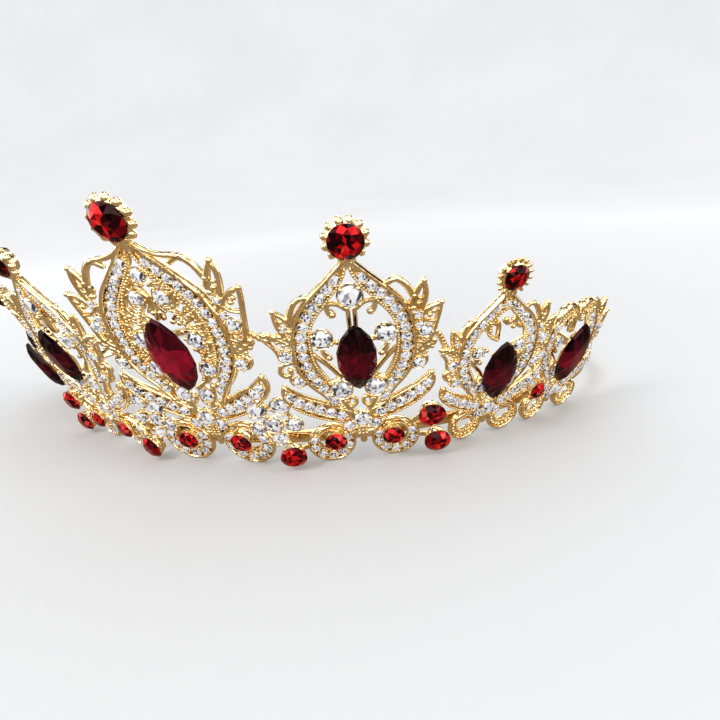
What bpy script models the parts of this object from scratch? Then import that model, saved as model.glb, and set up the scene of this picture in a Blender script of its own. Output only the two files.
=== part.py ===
"""Tiara with seven stone-set motifs on an open, springy headband.

The wearer's face looks along -Y, +Z is up, and the lower edge stands on z = 0.
The origin is the middle of the footprint. Every motif is a flat cast
plate that leans outward, and its parts are laid out in the plate's own plane:
x along the headband, y up the slope, z out of the front face.
"""
import math

import bmesh
import bpy
from mathutils import Matrix, Vector

MM = 0.001

# Plan of the tiara and the lean of its front.
FRONT_RADIUS = 96.0 * MM
FRONT_END = math.radians(52.0)
CORNER_RADIUS = 28.0 * MM
SIDE_RADIUS = 120.0 * MM
SIDE_TURN = math.radians(22.0)
TAB_LENGTH = 9.0 * MM
LEAN = math.radians(16.0)
FRONT_CENTRE = Vector((0.0, 52.2 * MM, 0.0))

# Headband strip.
BAND_HEIGHT = 3.2 * MM
BAND_THICKNESS = 0.9 * MM
BAND_LIFT = 4.4 * MM
EYELET_RADIUS = 0.8 * MM

# Castings and the gaps between neighbouring pieces.
PLATE_THICKNESS = 1.2 * MM
GAP = 0.35 * MM
FACE = PLATE_THICKNESS / 2
SLOPE_DROP = 3.67 * MM

# Stones and the finial cup of the middle-sized motif.
MARQUISE_LIFT = 0.2 * MM
MARQUISE_FULLNESS = 0.72
MARQUISE_CROWN = 1.8 * MM
MARQUISE_BACK = 1.0 * MM
MARQUISE_GIRDLE = 0.2 * MM
CUP_RADIUS = 3.85 * MM
STONE_SEAT = 0.36
DROP_DIAMETER = 5.7 * MM

# name, azimuth from the centre, motif scale, inner and outer spread of the leaves,
# crescent radius, crescent centre x, crescent lift
MOTIFS = (
    ("center", 0.0, 1.126, 1.0, 1.0, 6.0 * MM, 7.5 * MM, 0.0),
    ("1", 19.1, 1.0, 1.0, 1.0, 5.2 * MM, 6.9 * MM, 0.0),
    ("2", 35.3, 0.79, 1.0, 0.45, 3.9 * MM, 4.9 * MM, 0.3 * MM),
    ("3", 46.7, 0.71, 0.45, 1.0, 3.7 * MM, 5.5 * MM, 0.0),
)

# Marquise of a motif: length, width, height up the plate in scale-1 millimetres and lean.
MARQUISES = {
    "center": (17.8 * MM, 9.0 * MM, 30.9, math.radians(4.0)),
    "1": (15.0 * MM, 7.7 * MM, 32.0, math.radians(4.0)),
    "2": (15.0 * MM, 7.7 * MM, 29.0, math.radians(4.0)),
    "3": (16.4 * MM, 7.7 * MM, 30.5, math.radians(7.0)),
}

# Finial of a motif: cup scale and stone diameter. The last motif ends in two lobes instead.
FINIALS = {"center": (1.12, 6.9 * MM), "1": (1.0, 6.1 * MM), "2": (0.92, 5.1 * MM)}

# Round stones by a motif's crescents: sides (1 faces outward), diameter, and offsets from the
# crescent's centre, away from the middle and up. The last motif's stands on its wing leaf.
CRESCENT_STONES = {
    "center": ((-1, 1), 4.8 * MM, -0.9 * MM, 1.6 * MM),
    "1": ((-1, 1), 4.7 * MM, -0.8 * MM, 1.8 * MM),
    "3": ((-1,), 4.2 * MM, 2.5 * MM, 6.4 * MM),
}

# Colours, linear RGB, with roughness and metallic.
FINISHES = {
    "pale_gold": ((0.83, 0.60, 0.30), 0.16, 1.0),
    "garnet_stone": ((0.12, 0.004, 0.012), 0.04, 0.0),
    "ruby_stone": ((0.62, 0.008, 0.015), 0.04, 0.0),
    "clear_stone": ((0.86, 0.87, 0.92), 0.05, 0.0),
}

# Half-width of the ogee frame at scale 1 (millimetres); leaves spread beyond it.
OGEE_HALF = 11.5

# Half outline of a casting for scale 1 (millimetres), from the neck under the
# finial, or from the dip between the two lobes, down the side to the middle of
# the base. The outer side carries two leaf tips and the inner side carries one.
SHOULDER = ((0.9, 50.3), (3.4, 48.4), (6.1, 46.2))
LOBE = ((0.3, 44.0), (1.0, 45.9), (2.8, 47.3), (4.9, 46.9), (6.3, 45.0))
OUTER_LEAVES = (
    (7.9, 46.9), (9.9, 45.6), (11.4, 42.6), (12.3, 43.3), (13.1, 46.0), (13.5, 42.9),
    (13.2, 40.9), (14.9, 40.6), (16.6, 41.3), (15.6, 38.2), (15.2, 35.0),
)
INNER_LEAVES = (
    (7.4, 45.4), (9.4, 44.6), (10.9, 42.2), (11.6, 41.3), (14.0, 42.6), (14.2, 39.8),
    (14.0, 37.0),
)
LOWER_SIDE = (
    (13.4, 31.6), (11.6, 29.6), (10.6, 27.2), (9.0, 24.9), (6.6, 22.9), (4.2, 21.6),
    (2.3, 20.2), (3.4, 19.2), (6.0, 20.6), (8.9, 22.6), (11.8, 24.2), (14.2, 25.0),
    (14.8, 23.4), (13.4, 20.6), (10.8, 18.6), (7.8, 16.9), (4.8, 15.4), (1.7, 14.5),
)
STEM_HALF = 1.5

# Openings of a casting, right-hand half; the crown opening is on the middle line
# of a casting with a neck, and the lobe opening is in each of the two lobes.
CROWN_OPENING = ((0.0, 48.4), (-1.2, 46.4), (1.2, 46.4))
LOBE_OPENING = ((2.2, 44.2), (4.6, 44.4), (4.0, 45.9), (2.8, 46.0))
UPPER_OPENING = (
    (1.0, 42.4), (3.4, 42.6), (5.2, 41.0), (6.6, 38.6), (7.1, 37.0), (3.6, 37.0),
    (2.2, 39.0), (1.0, 40.6),
)
LOWER_OPENING = (
    (4.5, 34.2), (7.6, 34.2), (7.5, 31.2), (6.5, 28.4), (4.8, 26.4), (4.1, 27.4),
    (4.5, 30.0),
)
ARC_OPENING_OUTER = ((7.1, 45.0), (8.2, 45.9), (9.3, 44.7), (10.7, 41.8), (9.3, 42.6))
ARC_OPENING_INNER = ((7.1, 44.2), (8.6, 43.9), (9.9, 42.1), (10.5, 40.1), (9.1, 41.5))

# Row of small clear stones up each arm of the ogee, right-hand half: centre line, and its
# lower end under the marquise, which hangs lower in the two small motifs.
PAVE_LINE = (
    (1.9, 47.6), (3.9, 45.4), (6.1, 43.2), (7.9, 40.4), (9.1, 37.4), (9.6, 34.0),
    (9.3, 30.6), (8.1, 27.4), (6.0, 24.7),
)
PAVE_END = ((3.5, 22.6), (1.2, 21.2))
PAVE_END_LOW = ((4.4, 21.2), (1.2, 17.0))
LOBE_PAVE_START = 2
PAVE_WIDTH = 1.7
PAVE_THICKNESS = 0.7 * MM


# ---------------------------------------------------------------- scene and looks
def clear_scene():
    for item in list(bpy.data.objects):
        bpy.data.objects.remove(item, do_unlink=True)


def make_collection(name):
    collection = bpy.data.collections.new(name)
    bpy.context.scene.collection.children.link(collection)
    return collection


def make_material(name):
    colour, roughness, metallic = FINISHES[name]
    material = bpy.data.materials.new(name)
    material.use_nodes = True
    shader = material.node_tree.nodes["Principled BSDF"]
    shader.inputs["Base Color"].default_value = (*colour, 1.0)
    shader.inputs["Roughness"].default_value = roughness
    shader.inputs["Metallic"].default_value = metallic
    return material


def finish_object(item, matrix, material, collection, smooth=None):
    item.matrix_world = matrix
    item.data.materials.append(material)
    collection.objects.link(item)
    if smooth is not None:
        item.data.shade_smooth()
        item.data.set_sharp_from_angle(angle=math.radians(smooth))
    return item


# ---------------------------------------------------------------- frames
def motif_frame(azimuth):
    """Plate frame at an azimuth: x along the band, y up the slope, z outward."""
    along = Vector((math.cos(azimuth), math.sin(azimuth), 0.0))
    out = Vector((math.sin(azimuth), -math.cos(azimuth), 0.0))
    up = Vector((0.0, 0.0, 1.0))
    slope = out * math.sin(LEAN) + up * math.cos(LEAN)
    normal = out * math.cos(LEAN) - up * math.sin(LEAN)
    frame = Matrix((along, slope, normal)).transposed().to_4x4()
    frame.translation = out * FRONT_RADIUS + FRONT_CENTRE
    return frame


def mirrored(points):
    return [(-x, y) for x, y in reversed(points)]


def arc(x, y, radius, start, end, count):
    """Points along an arc, angles in degrees, both ends included."""
    points = []
    for step in range(count):
        angle = math.radians(start + (end - start) * step / (count - 1))
        points.append((x + radius * math.cos(angle), y + radius * math.sin(angle)))
    return points


def circle(x, y, radius, count):
    return arc(x, y, radius, 0.0, 360.0 * (1 - 1 / count), count)


# ---------------------------------------------------------------- flat plates
def make_plate(name, loops, thickness, matrix, material, collection):
    """Flat plate from closed loops in metres; loops inside the first are holes."""
    curve = bpy.data.curves.new(name, "CURVE")
    curve.dimensions = "2D"
    curve.fill_mode = "BOTH"
    curve.extrude = thickness / 2
    for loop in loops:
        spline = curve.splines.new("POLY")
        spline.points.add(len(loop) - 1)
        for point, (x, y) in zip(spline.points, loop):
            point.co = (x, y, 0.0, 1.0)
        spline.use_cyclic_u = True
    item = bpy.data.objects.new(name, curve)
    return finish_object(item, matrix, material, collection)


def motif_point(x, y, scale):
    """Millimetres of the scale-1 motif to metres in the plate frame."""
    return (x * scale * MM, y * scale * MM - SLOPE_DROP)


def motif_loop(points, scale):
    return [motif_point(x, y, scale) for x, y in points]


def casting_half(top, outer, spread):
    """Half outline of a casting, its leaves and wing drawn in by the spread."""
    leaves = OUTER_LEAVES if outer else INNER_LEAVES
    points = []
    for x, y in top + leaves + LOWER_SIDE:
        points.append((min(x, OGEE_HALF) + max(x - OGEE_HALF, 0.0) * spread, y))
    return points


def make_casting(name, matrix, scale, foot, sides, has_neck, gold, collection):
    """Cast ogee frame with leaf tips, wing leaves and a seat for the marquise.

    A short stem runs down to the foot, a height in metres up the plate. sides
    holds (is the outer side, spread) for the left and for the right half. The
    top is a neck for the finial, or two lobes.
    """
    top = SHOULDER if has_neck else LOBE
    left = mirrored(casting_half(top, *sides[0]))
    right = casting_half(top, *sides[1])
    foot_level = (foot + SLOPE_DROP) / (scale * MM)
    outline = right + [(STEM_HALF, foot_level), (-STEM_HALF, foot_level)] + left
    loops = [outline, CROWN_OPENING] if has_neck else [outline]
    for hand, (outer, _) in zip((-1, 1), sides):
        openings = [UPPER_OPENING, LOWER_OPENING, ARC_OPENING_OUTER if outer else ARC_OPENING_INNER]
        if not has_neck:
            openings.append(LOBE_OPENING)
        loops += [[(hand * x, y) for x, y in opening] for opening in openings]
    loops = [motif_loop(loop, scale) for loop in loops]
    return make_plate(name, loops, PLATE_THICKNESS, matrix, gold, collection)


def offset_line(points, distance):
    """The polyline moved sideways by a distance, to the left of its direction."""
    moved = []
    last = len(points) - 1
    for index, (x, y) in enumerate(points):
        x0, y0 = points[max(index - 1, 0)]
        x1, y1 = points[min(index + 1, last)]
        length = math.hypot(x1 - x0, y1 - y0)
        moved.append((x - distance * (y1 - y0) / length, y + distance * (x1 - x0) / length))
    return moved


def make_pave(name, matrix, scale, has_neck, end, clear, collection):
    """Row of small clear stones round the ogee, as one connected strip."""
    half = (PAVE_LINE if has_neck else PAVE_LINE[LOBE_PAVE_START:]) + end
    line = list(half) + mirrored(half)
    strip = offset_line(line, PAVE_WIDTH / 2) + offset_line(line, -PAVE_WIDTH / 2)[::-1]
    lift = FACE + GAP + PAVE_THICKNESS / 2
    place = matrix @ Matrix.Translation((0.0, 0.0, lift))
    return make_plate(name, [motif_loop(strip, scale)], PAVE_THICKNESS, place, clear, collection)


# ---------------------------------------------------------------- lower gallery
SEAT_RADIUS = 1.9 * MM
SEAT_LOW = (15.4 * MM, 4.4 * MM)
SEAT_HIGH = (14.2 * MM, 12.0 * MM)
NECK_HALF = 0.7 * MM
FOOT_CLEARANCE = 0.2 * MM
WAIST_TOP = 0.45


def crescent_centre(radius, lift):
    """Height of a crescent's centre up the plate; its rim just clears z = 0."""
    return radius + lift + FOOT_CLEARANCE


def crescent_half(radius, x, y, seats):
    """Outline of one crescent and its drop-stone seats, from top to bottom centre."""
    waist_top = (0.0, y + WAIST_TOP * radius)
    waist_bottom = (0.0, y - 0.35 * radius)
    if not seats:
        return [waist_top] + arc(x, y, radius, 150.0, -150.0, 17) + [waist_bottom]
    neck = math.degrees(math.asin(NECK_HALF / radius))
    turn = math.degrees(math.atan2(SEAT_LOW[1] - y, SEAT_LOW[0] - x))
    points = [waist_top] + arc(x, y, radius, 150.0, turn + neck, 9)
    low_x, low_y = SEAT_LOW
    if len(seats) == 2:
        high_x, high_y = SEAT_HIGH
        points += arc(low_x, low_y, SEAT_RADIUS, 150.0, 120.0, 2)
        points += arc(high_x, high_y, SEAT_RADIUS, 250.0, -50.0, 9)
        points += arc(low_x, low_y, SEAT_RADIUS, 65.0, -150.0, 8)
    else:
        points += arc(low_x, low_y, SEAT_RADIUS, 155.0, -155.0, 9)
    points += arc(x, y, radius, turn - neck, -150.0, 9)
    return points + [waist_bottom]


def make_gallery(name, matrix, radius, x, lift, left_seats, right_seats, gold, collection):
    """Pair of open crescents under a motif, with arms that seat the drop stones."""
    y = crescent_centre(radius, lift)
    right = crescent_half(radius, x, y, right_seats)
    left = mirrored(crescent_half(radius, x, y, left_seats))
    outline = right + left[1:-1]
    holes = [circle(side * x, y + 0.17 * radius, 0.6 * radius, 12) for side in (1, -1)]
    return make_plate(name, [outline] + holes, PLATE_THICKNESS, matrix, gold, collection)


# ---------------------------------------------------------------- stones and cups
# Depth of a round stone under its girdle, as a share of its diameter.
STONE_DEPTH = 0.26


def make_turned(name, profile, steps, matrix, material, collection):
    """Solid turned about its own z axis from a profile in metres (radius, z)."""
    mesh = bpy.data.meshes.new(name)
    vertices = [(radius, 0.0, z) for radius, z in profile]
    edges = [(index, index + 1) for index in range(len(profile) - 1)]
    mesh.from_pydata(vertices, edges, [])
    item = bpy.data.objects.new(name, mesh)
    turn = item.modifiers.new("turn", "SCREW")
    turn.axis = "Z"
    turn.steps = steps
    turn.render_steps = steps
    turn.use_merge_vertices = True
    turn.merge_threshold = 0.00001
    turn.use_smooth_shade = False
    return finish_object(item, matrix, material, collection)


def make_round_stone(name, diameter, matrix, material, collection):
    """Round faceted stone: flat table, crown, thin girdle and pointed pavilion."""
    radius = diameter / 2
    profile = [
        (0.0, 0.40 * radius), (0.58 * radius, 0.40 * radius), (radius, 0.06 * radius),
        (radius, -0.06 * radius), (0.0, -2 * STONE_DEPTH * radius),
    ]
    return make_turned(name, profile, 10, matrix, material, collection)


def make_finial_cup(name, cup_scale, matrix, gold, collection):
    """Turned cup that holds the finial stone, open at the front."""
    radius = CUP_RADIUS * cup_scale
    profile = [
        (0.0, -0.22 * radius), (0.48 * radius, -0.22 * radius), (0.90 * radius, 0.30 * radius),
        (radius, 0.30 * radius), (0.94 * radius, -0.05 * radius), (0.55 * radius, -0.42 * radius),
        (0.0, -0.42 * radius),
    ]
    return make_turned(name, profile, 14, matrix, gold, collection)


def marquise_outline(half_length, half_width, steps):
    """Closed outline of a marquise stone: full sides that run to a point at each end."""
    points = []
    for side in (1, -1):
        for step in range(steps):
            share = math.sin(math.pi * (step / steps - 0.5))
            reach = half_width * (1.0 - share * share) ** MARQUISE_FULLNESS
            points.append((side * reach, side * share * half_length))
    return points


def make_marquise(name, matrix, length, width, garnet, collection):
    """Marquise stone: levels of one pointed outline joined by facets."""
    levels = ((0.30, -MARQUISE_BACK), (1.0, -MARQUISE_GIRDLE), (1.0, MARQUISE_GIRDLE), (0.55, MARQUISE_CROWN))
    mesh = bpy.data.meshes.new(name)
    shape = bmesh.new()
    rings = []
    for size, z in levels:
        outline = marquise_outline(length / 2, width / 2, 6)
        rings.append([shape.verts.new((x * size, y * size, z)) for x, y in outline])
    shape.faces.new(rings[0][::-1])
    for lower, upper in zip(rings, rings[1:]):
        for index in range(len(lower)):
            following = (index + 1) % len(lower)
            shape.faces.new((lower[index], lower[following], upper[following], upper[index]))
    shape.faces.new(rings[-1])
    bmesh.ops.recalc_face_normals(shape, faces=shape.faces)
    shape.to_mesh(mesh)
    shape.free()
    item = bpy.data.objects.new(name, mesh)
    return finish_object(item, matrix, garnet, collection)


def marquise_frame(matrix, level, lean, scale):
    """Frame of a marquise: over its seat, its top tipped out from the plate."""
    x, y = motif_point(0.0, level, scale)
    stand_off = FACE + GAP + MARQUISE_BACK + MARQUISE_LIFT
    place = matrix @ Matrix.Translation((x, y, stand_off))
    return place @ Matrix.Rotation(lean, 4, "X")


def finial_frame(matrix, scale, cup_scale):
    """Frame of a finial cup: its rim just above the casting's neck."""
    x, y = motif_point(0.0, SHOULDER[0][1], scale)
    return matrix @ Matrix.Translation((x, y + GAP + CUP_RADIUS * cup_scale, 0.3 * MM))


# ---------------------------------------------------------------- headband
def plan_stations():
    """Half of the headband's plan: point, heading, lean share and drop share."""
    stations = []
    front_steps = 11
    for step in range(front_steps + 1):
        heading = FRONT_END * step / front_steps
        point = Vector((FRONT_RADIUS * math.sin(heading), -FRONT_RADIUS * math.cos(heading)))
        stations.append((point, heading))
    for radius, turn, steps in (
        (CORNER_RADIUS, math.pi / 2 - FRONT_END, 5),
        (SIDE_RADIUS, SIDE_TURN, 4),
    ):
        start, heading = stations[-1]
        centre = start + radius * Vector((-math.sin(heading), math.cos(heading)))
        for step in range(1, steps + 1):
            angle = heading + turn * step / steps
            point = centre + radius * Vector((math.sin(angle), -math.cos(angle)))
            stations.append((point, angle))
    start, heading = stations[-1]
    along = Vector((math.cos(heading), math.sin(heading)))
    stations.append((start + along * TAB_LENGTH, heading))
    return stations


def band_sections():
    """Four corners of the strip at each station, from one end to the other."""
    stations = plan_stations()
    travelled = [0.0]
    for (before, _), (after, _) in zip(stations, stations[1:]):
        travelled.append(travelled[-1] + (after - before).length)
    front_length = FRONT_RADIUS * FRONT_END
    fade_length = travelled[-2] - front_length
    outer = -(FACE + GAP)
    sections = []
    for (point, heading), distance in zip(stations, travelled):
        share = min(max((distance - front_length) / fade_length, 0.0), 1.0)
        share = share * share * (3 - 2 * share)
        lean = LEAN * (1 - share)
        out = Vector((math.sin(heading), -math.cos(heading), 0.0))
        slope = out * math.sin(lean) + Vector((0.0, 0.0, math.cos(lean)))
        normal = out * math.cos(lean) - Vector((0.0, 0.0, math.sin(lean)))
        foot = FRONT_CENTRE + Vector((point.x, point.y, 0.0)) + slope * (BAND_LIFT * (1 - share))
        corners = []
        for offset, rise in ((outer, 0.0), (outer, BAND_HEIGHT),
                             (outer - BAND_THICKNESS, BAND_HEIGHT), (outer - BAND_THICKNESS, 0.0)):
            corners.append(foot + normal * offset + slope * rise)
        sections.append(corners)
    left = [[Vector((-c.x, c.y, c.z)) for c in corners] for corners in reversed(sections[1:])]
    return left + sections


def eyelet_cutter(number, sections, cutters):
    """Round cutter through the middle of an end tab."""
    first, second = (sections[0], sections[1]) if number == 0 else (sections[-1], sections[-2])
    middle = sum(first, Vector()) / 4 * 0.7 + sum(second, Vector()) / 4 * 0.3
    across = (first[0] - first[3]).normalized()
    bpy.ops.mesh.primitive_cylinder_add(vertices=16, radius=EYELET_RADIUS, depth=6 * BAND_THICKNESS)
    cutter = bpy.context.object
    cutter.name = f"eyelet_cutter_{number + 1}"
    cutter.matrix_world = Matrix.Translation(middle) @ across.to_track_quat("Z", "Y").to_matrix().to_4x4()
    for collection in list(cutter.users_collection):
        collection.objects.unlink(cutter)
    cutters.objects.link(cutter)
    cutter.hide_render = True
    cutter.display_type = "WIRE"
    return cutter


def make_headband(gold, collection, cutters):
    """Springy strip behind the castings, with a flat, pierced tab at each end."""
    sections = band_sections()
    mesh = bpy.data.meshes.new("headband")
    shape = bmesh.new()
    rings = [[shape.verts.new(corner) for corner in corners] for corners in sections]
    shape.faces.new(rings[0])
    for before, after in zip(rings, rings[1:]):
        for index in range(4):
            following = (index + 1) % 4
            shape.faces.new((before[index], before[following], after[following], after[index]))
    shape.faces.new(rings[-1][::-1])
    bmesh.ops.recalc_face_normals(shape, faces=shape.faces)
    shape.to_mesh(mesh)
    shape.free()
    item = bpy.data.objects.new("headband", mesh)
    for number in (0, 1):
        cut = item.modifiers.new(f"eyelet_{number + 1}", "BOOLEAN")
        cut.object = eyelet_cutter(number, sections, cutters)
        cut.operation = "DIFFERENCE"
        cut.solver = "EXACT"
    return finish_object(item, Matrix.Identity(4), gold, collection)


# ---------------------------------------------------------------- assembly
def seat_positions(side_number):
    """Drop-stone seats of a motif on its inner and outer sides."""
    if side_number == "1":
        return [SEAT_LOW], [SEAT_LOW, SEAT_HIGH]
    return [], []


def make_motif(motif, side, materials, collection):
    """All pieces of one motif; side is -1 left, 1 right and 0 for the centre."""
    number, azimuth, scale, inner, outer, radius, crescent_x, lift = motif
    label = number if side == 0 else ("left_" if side < 0 else "right_") + number
    frame = motif_frame(math.radians(azimuth) * side)
    gold = materials["pale_gold"]
    garnet = materials["garnet_stone"]
    ruby = materials["ruby_stone"]
    left_outer = side <= 0
    right_outer = side >= 0
    sides = ((left_outer, outer if left_outer else inner),
             (right_outer, outer if right_outer else inner))
    foot = crescent_centre(radius, lift) + WAIST_TOP * radius + GAP
    has_neck = number in FINIALS
    make_casting(f"casting_{label}", frame, scale, foot, sides, has_neck, gold, collection)
    pave_end = PAVE_END if side == 0 or number == "1" else PAVE_END_LOW
    make_pave(f"pave_{label}", frame, scale, has_neck, pave_end, materials["clear_stone"], collection)
    length, width, level, lean = MARQUISES[number]
    seat = marquise_frame(frame, level, lean, scale)
    make_marquise(f"marquise_{label}", seat, length, width, garnet, collection)
    if has_neck:
        cup_scale, diameter = FINIALS[number]
        top = finial_frame(frame, scale, cup_scale)
        make_finial_cup(f"finial_cup_{label}", cup_scale, top, gold, collection)
        seat = top @ Matrix.Translation((0.0, 0.0, STONE_SEAT * CUP_RADIUS * cup_scale))
        make_round_stone(f"finial_stone_{label}", diameter, seat, ruby, collection)
    inner_seats, outer_seats = seat_positions(number)
    left_seats = inner_seats if right_outer else outer_seats
    right_seats = outer_seats if right_outer else inner_seats
    make_gallery(f"gallery_{label}", frame, radius, crescent_x, lift, left_seats, right_seats,
                 gold, collection)
    make_gallery_stones(label, number, side, frame, radius, crescent_x, lift,
                        (left_seats, right_seats), ruby, collection)


def make_gallery_stones(label, number, side, frame, radius, crescent_x, lift, seats, ruby, collection):
    """Ruby stones in the crescents and on the drop-stone seats of one motif."""
    y = crescent_centre(radius, lift)
    crescent_sides, diameter, shift, rise = CRESCENT_STONES.get(number, ((), 0.0, 0.0, 0.0))
    for outward in crescent_sides:
        hand = outward * (side or 1)
        name = f"crescent_stone_{label}_{'left' if hand < 0 else 'right'}"
        x = hand * (crescent_x + shift)
        stand_off = FACE + GAP + STONE_DEPTH * diameter
        place = frame @ Matrix.Translation((x, y + rise, stand_off))
        make_round_stone(name, diameter, place, ruby, collection)
    for hand, group in zip((-1, 1), seats):
        for level, (x, seat_y) in zip(("low", "high"), group):
            name = f"drop_stone_{label}_{'inner' if hand != side else 'outer'}_{level}"
            stand_off = FACE + GAP + STONE_DEPTH * DROP_DIAMETER
            place = frame @ Matrix.Translation((hand * x, seat_y, stand_off))
            make_round_stone(name, DROP_DIAMETER, place, ruby, collection)


def main():
    clear_scene()
    tiara = make_collection("tiara")
    cutters = make_collection("cutters")
    materials = {name: make_material(name) for name in FINISHES}
    make_headband(materials["pale_gold"], tiara, cutters)
    make_motif(MOTIFS[0], 0, materials, tiara)
    for motif in MOTIFS[1:]:
        for side in (-1, 1):
            make_motif(motif, side, materials, tiara)


main()
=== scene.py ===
import math

import bmesh
import bpy
import numpy as np
from mathutils import Matrix, Vector


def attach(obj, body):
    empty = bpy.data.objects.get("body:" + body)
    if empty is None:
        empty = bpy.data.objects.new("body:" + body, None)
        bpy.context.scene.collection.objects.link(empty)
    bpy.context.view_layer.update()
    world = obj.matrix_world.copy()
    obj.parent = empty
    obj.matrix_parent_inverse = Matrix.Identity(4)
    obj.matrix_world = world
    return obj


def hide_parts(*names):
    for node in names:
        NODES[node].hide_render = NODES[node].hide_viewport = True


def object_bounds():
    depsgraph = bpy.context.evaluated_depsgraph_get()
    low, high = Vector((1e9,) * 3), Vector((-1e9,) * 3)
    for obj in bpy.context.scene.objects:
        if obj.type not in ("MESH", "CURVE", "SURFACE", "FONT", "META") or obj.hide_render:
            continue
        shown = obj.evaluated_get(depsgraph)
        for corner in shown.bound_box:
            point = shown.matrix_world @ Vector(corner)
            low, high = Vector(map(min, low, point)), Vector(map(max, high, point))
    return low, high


# Looks of the tiara: gold openwork, cut stones and the polished headband, laid out in the
# plates' own planes. In a plate x runs along the band, y up the slope and z out of the
# front; lengths are millimetres until a piece is placed.
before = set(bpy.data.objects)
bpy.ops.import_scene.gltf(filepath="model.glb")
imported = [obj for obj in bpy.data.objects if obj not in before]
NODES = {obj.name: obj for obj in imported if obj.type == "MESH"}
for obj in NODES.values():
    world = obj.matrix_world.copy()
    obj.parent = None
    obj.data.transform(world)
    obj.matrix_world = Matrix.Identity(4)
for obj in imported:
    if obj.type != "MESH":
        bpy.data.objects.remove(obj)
CAD_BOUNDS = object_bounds()
BODY = "root"
MM = 0.001

# Headband strip: plan behind the motifs, section, height up the slope and gap to the plates.
FRONT_END = math.radians(52.0)
CORNER_RADIUS = 28.0
SIDE_RADIUS = 120.0
SIDE_TURN = math.radians(22.0)
TAB_LENGTH = 9.0
BAND_HEIGHT = 3.2
BAND_THICKNESS = 0.9
BAND_LIFT = 4.4
BAND_SETBACK = 0.95
BAND_SIDES = 12
EYELET_RADIUS = 0.8
EYELET_SIDES = 40

# How far the motifs' drawings start below the plate's foot, and the marquise stones: lean,
# height above and depth below the girdle, steps of an edge, bulge and painted brightness added per motif.
SLOPE_DROP = 3.67
MARQUISE_LEAN = math.radians(4.0)
MARQUISE_LEAN_LAST = math.radians(7.0)
MARQUISE_CROWN = 1.8
MARQUISE_BACK = 1.0
MARQUISE_STEPS = 7
MARQUISE_FULLNESS = 0.72
MARQUISE_PAINTED_GLOW = {"center": 0.30, "3": 0.12}

# Motif scales, and crescent radius, centre x and lift of the galleries.
SCALES = {"center": 1.126, "1": 1.0, "2": 0.79, "3": 0.71}
CRESCENTS = {
    "center": (6.0, 7.5, 0.2), "1": (5.2, 6.9, 0.2), "2": (3.9, 4.9, 0.5), "3": (3.7, 5.5, 0.2),
}

# Ogee frame, right half at scale 1: smooth outer rim, thin inner rim and the row of stones
# in the channel between them.
OGEE_OUTER = (
    (0.9, 50.4), (2.2, 49.1), (3.8, 47.5), (5.6, 45.8), (7.6, 43.8), (9.2, 41.9), (10.3, 39.8),
    (11.0, 37.4), (11.3, 34.8), (11.3, 32.0), (10.9, 29.4), (10.1, 27.2), (8.9, 25.1), (7.4, 23.3),
    (6.2, 21.6), (5.2, 19.6),
)
OGEE_INNER = (
    (0.5, 49.4), (0.8, 48.2), (1.5, 46.9), (2.6, 45.4), (3.9, 43.9), (5.2, 42.3), (6.4, 40.7),
    (7.4, 39.0), (8.0, 37.2), (8.2, 35.0), (8.1, 32.8), (7.8, 30.8), (7.1, 28.8), (6.2, 26.9),
    (5.4, 25.2),
)
OGEE_MIDDLE = (
    (1.8, 48.2), (3.1, 46.7), (4.8, 44.9), (6.4, 43.0), (7.8, 41.0), (8.8, 38.9), (9.5, 36.5),
    (9.7, 33.9), (9.6, 31.2), (9.0, 28.7), (8.0, 26.4), (6.7, 24.2), (5.4, 21.6),
)
# Low curled lobe that ends each arm of a third motif, from the ogee point LOBED_START on.
LOBE = ((8.6, 42.4), (7.8, 44.9), (6.1, 46.7), (3.6, 47.4), (1.5, 46.4), (0.4, 44.2), (0.2, 41.6))
LOBE_INNER = ((6.6, 42.4), (6.0, 44.3), (4.4, 45.3), (2.8, 44.7), (2.0, 43.0), (2.4, 41.6))
LOBED_START = 4

# Strokes of gold at scale 1: half width and the points of the curve. First the leaves and
# scrolls beside the ogee, on a motif's outer and inner side.
OUTER_STROKES = (
    ((0.55, 0.75), ((6.2, 45.6), (8.0, 46.4), (9.5, 45.4), (10.5, 43.9), (11.2, 42.2), (11.3, 40.4))),
    ((0.75, 0.45), ((10.8, 41.4), (11.7, 43.5), (12.8, 45.5))),
    ((0.45, 0.75), ((12.9, 45.5), (13.3, 43.6), (13.1, 41.6), (12.5, 39.8), (11.4, 37.6))),
    ((0.75, 0.45), ((12.2, 38.5), (14.2, 40.1), (16.0, 40.9))),
    ((0.45, 0.62), ((16.0, 40.9), (15.8, 39.2), (15.3, 37.2), (14.8, 35.2), (14.3, 33.6), (13.2, 32.3),
                    (11.5, 31.2))),
    (0.42, ((11.2, 38.6), (12.4, 37.9), (13.4, 37.4), (15.2, 37.2))),
    (0.45, ((11.4, 35.8), (12.0, 34.6), (12.6, 33.4), (14.0, 33.0))),
    (0.58, ((14.9, 32.4), (13.4, 31.3), (11.8, 30.2))),
    (0.42, ((11.2, 29.6), (12.6, 29.9), (13.5, 29.0), (13.1, 27.6), (11.8, 27.1), (10.2, 27.2))),
)
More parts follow.
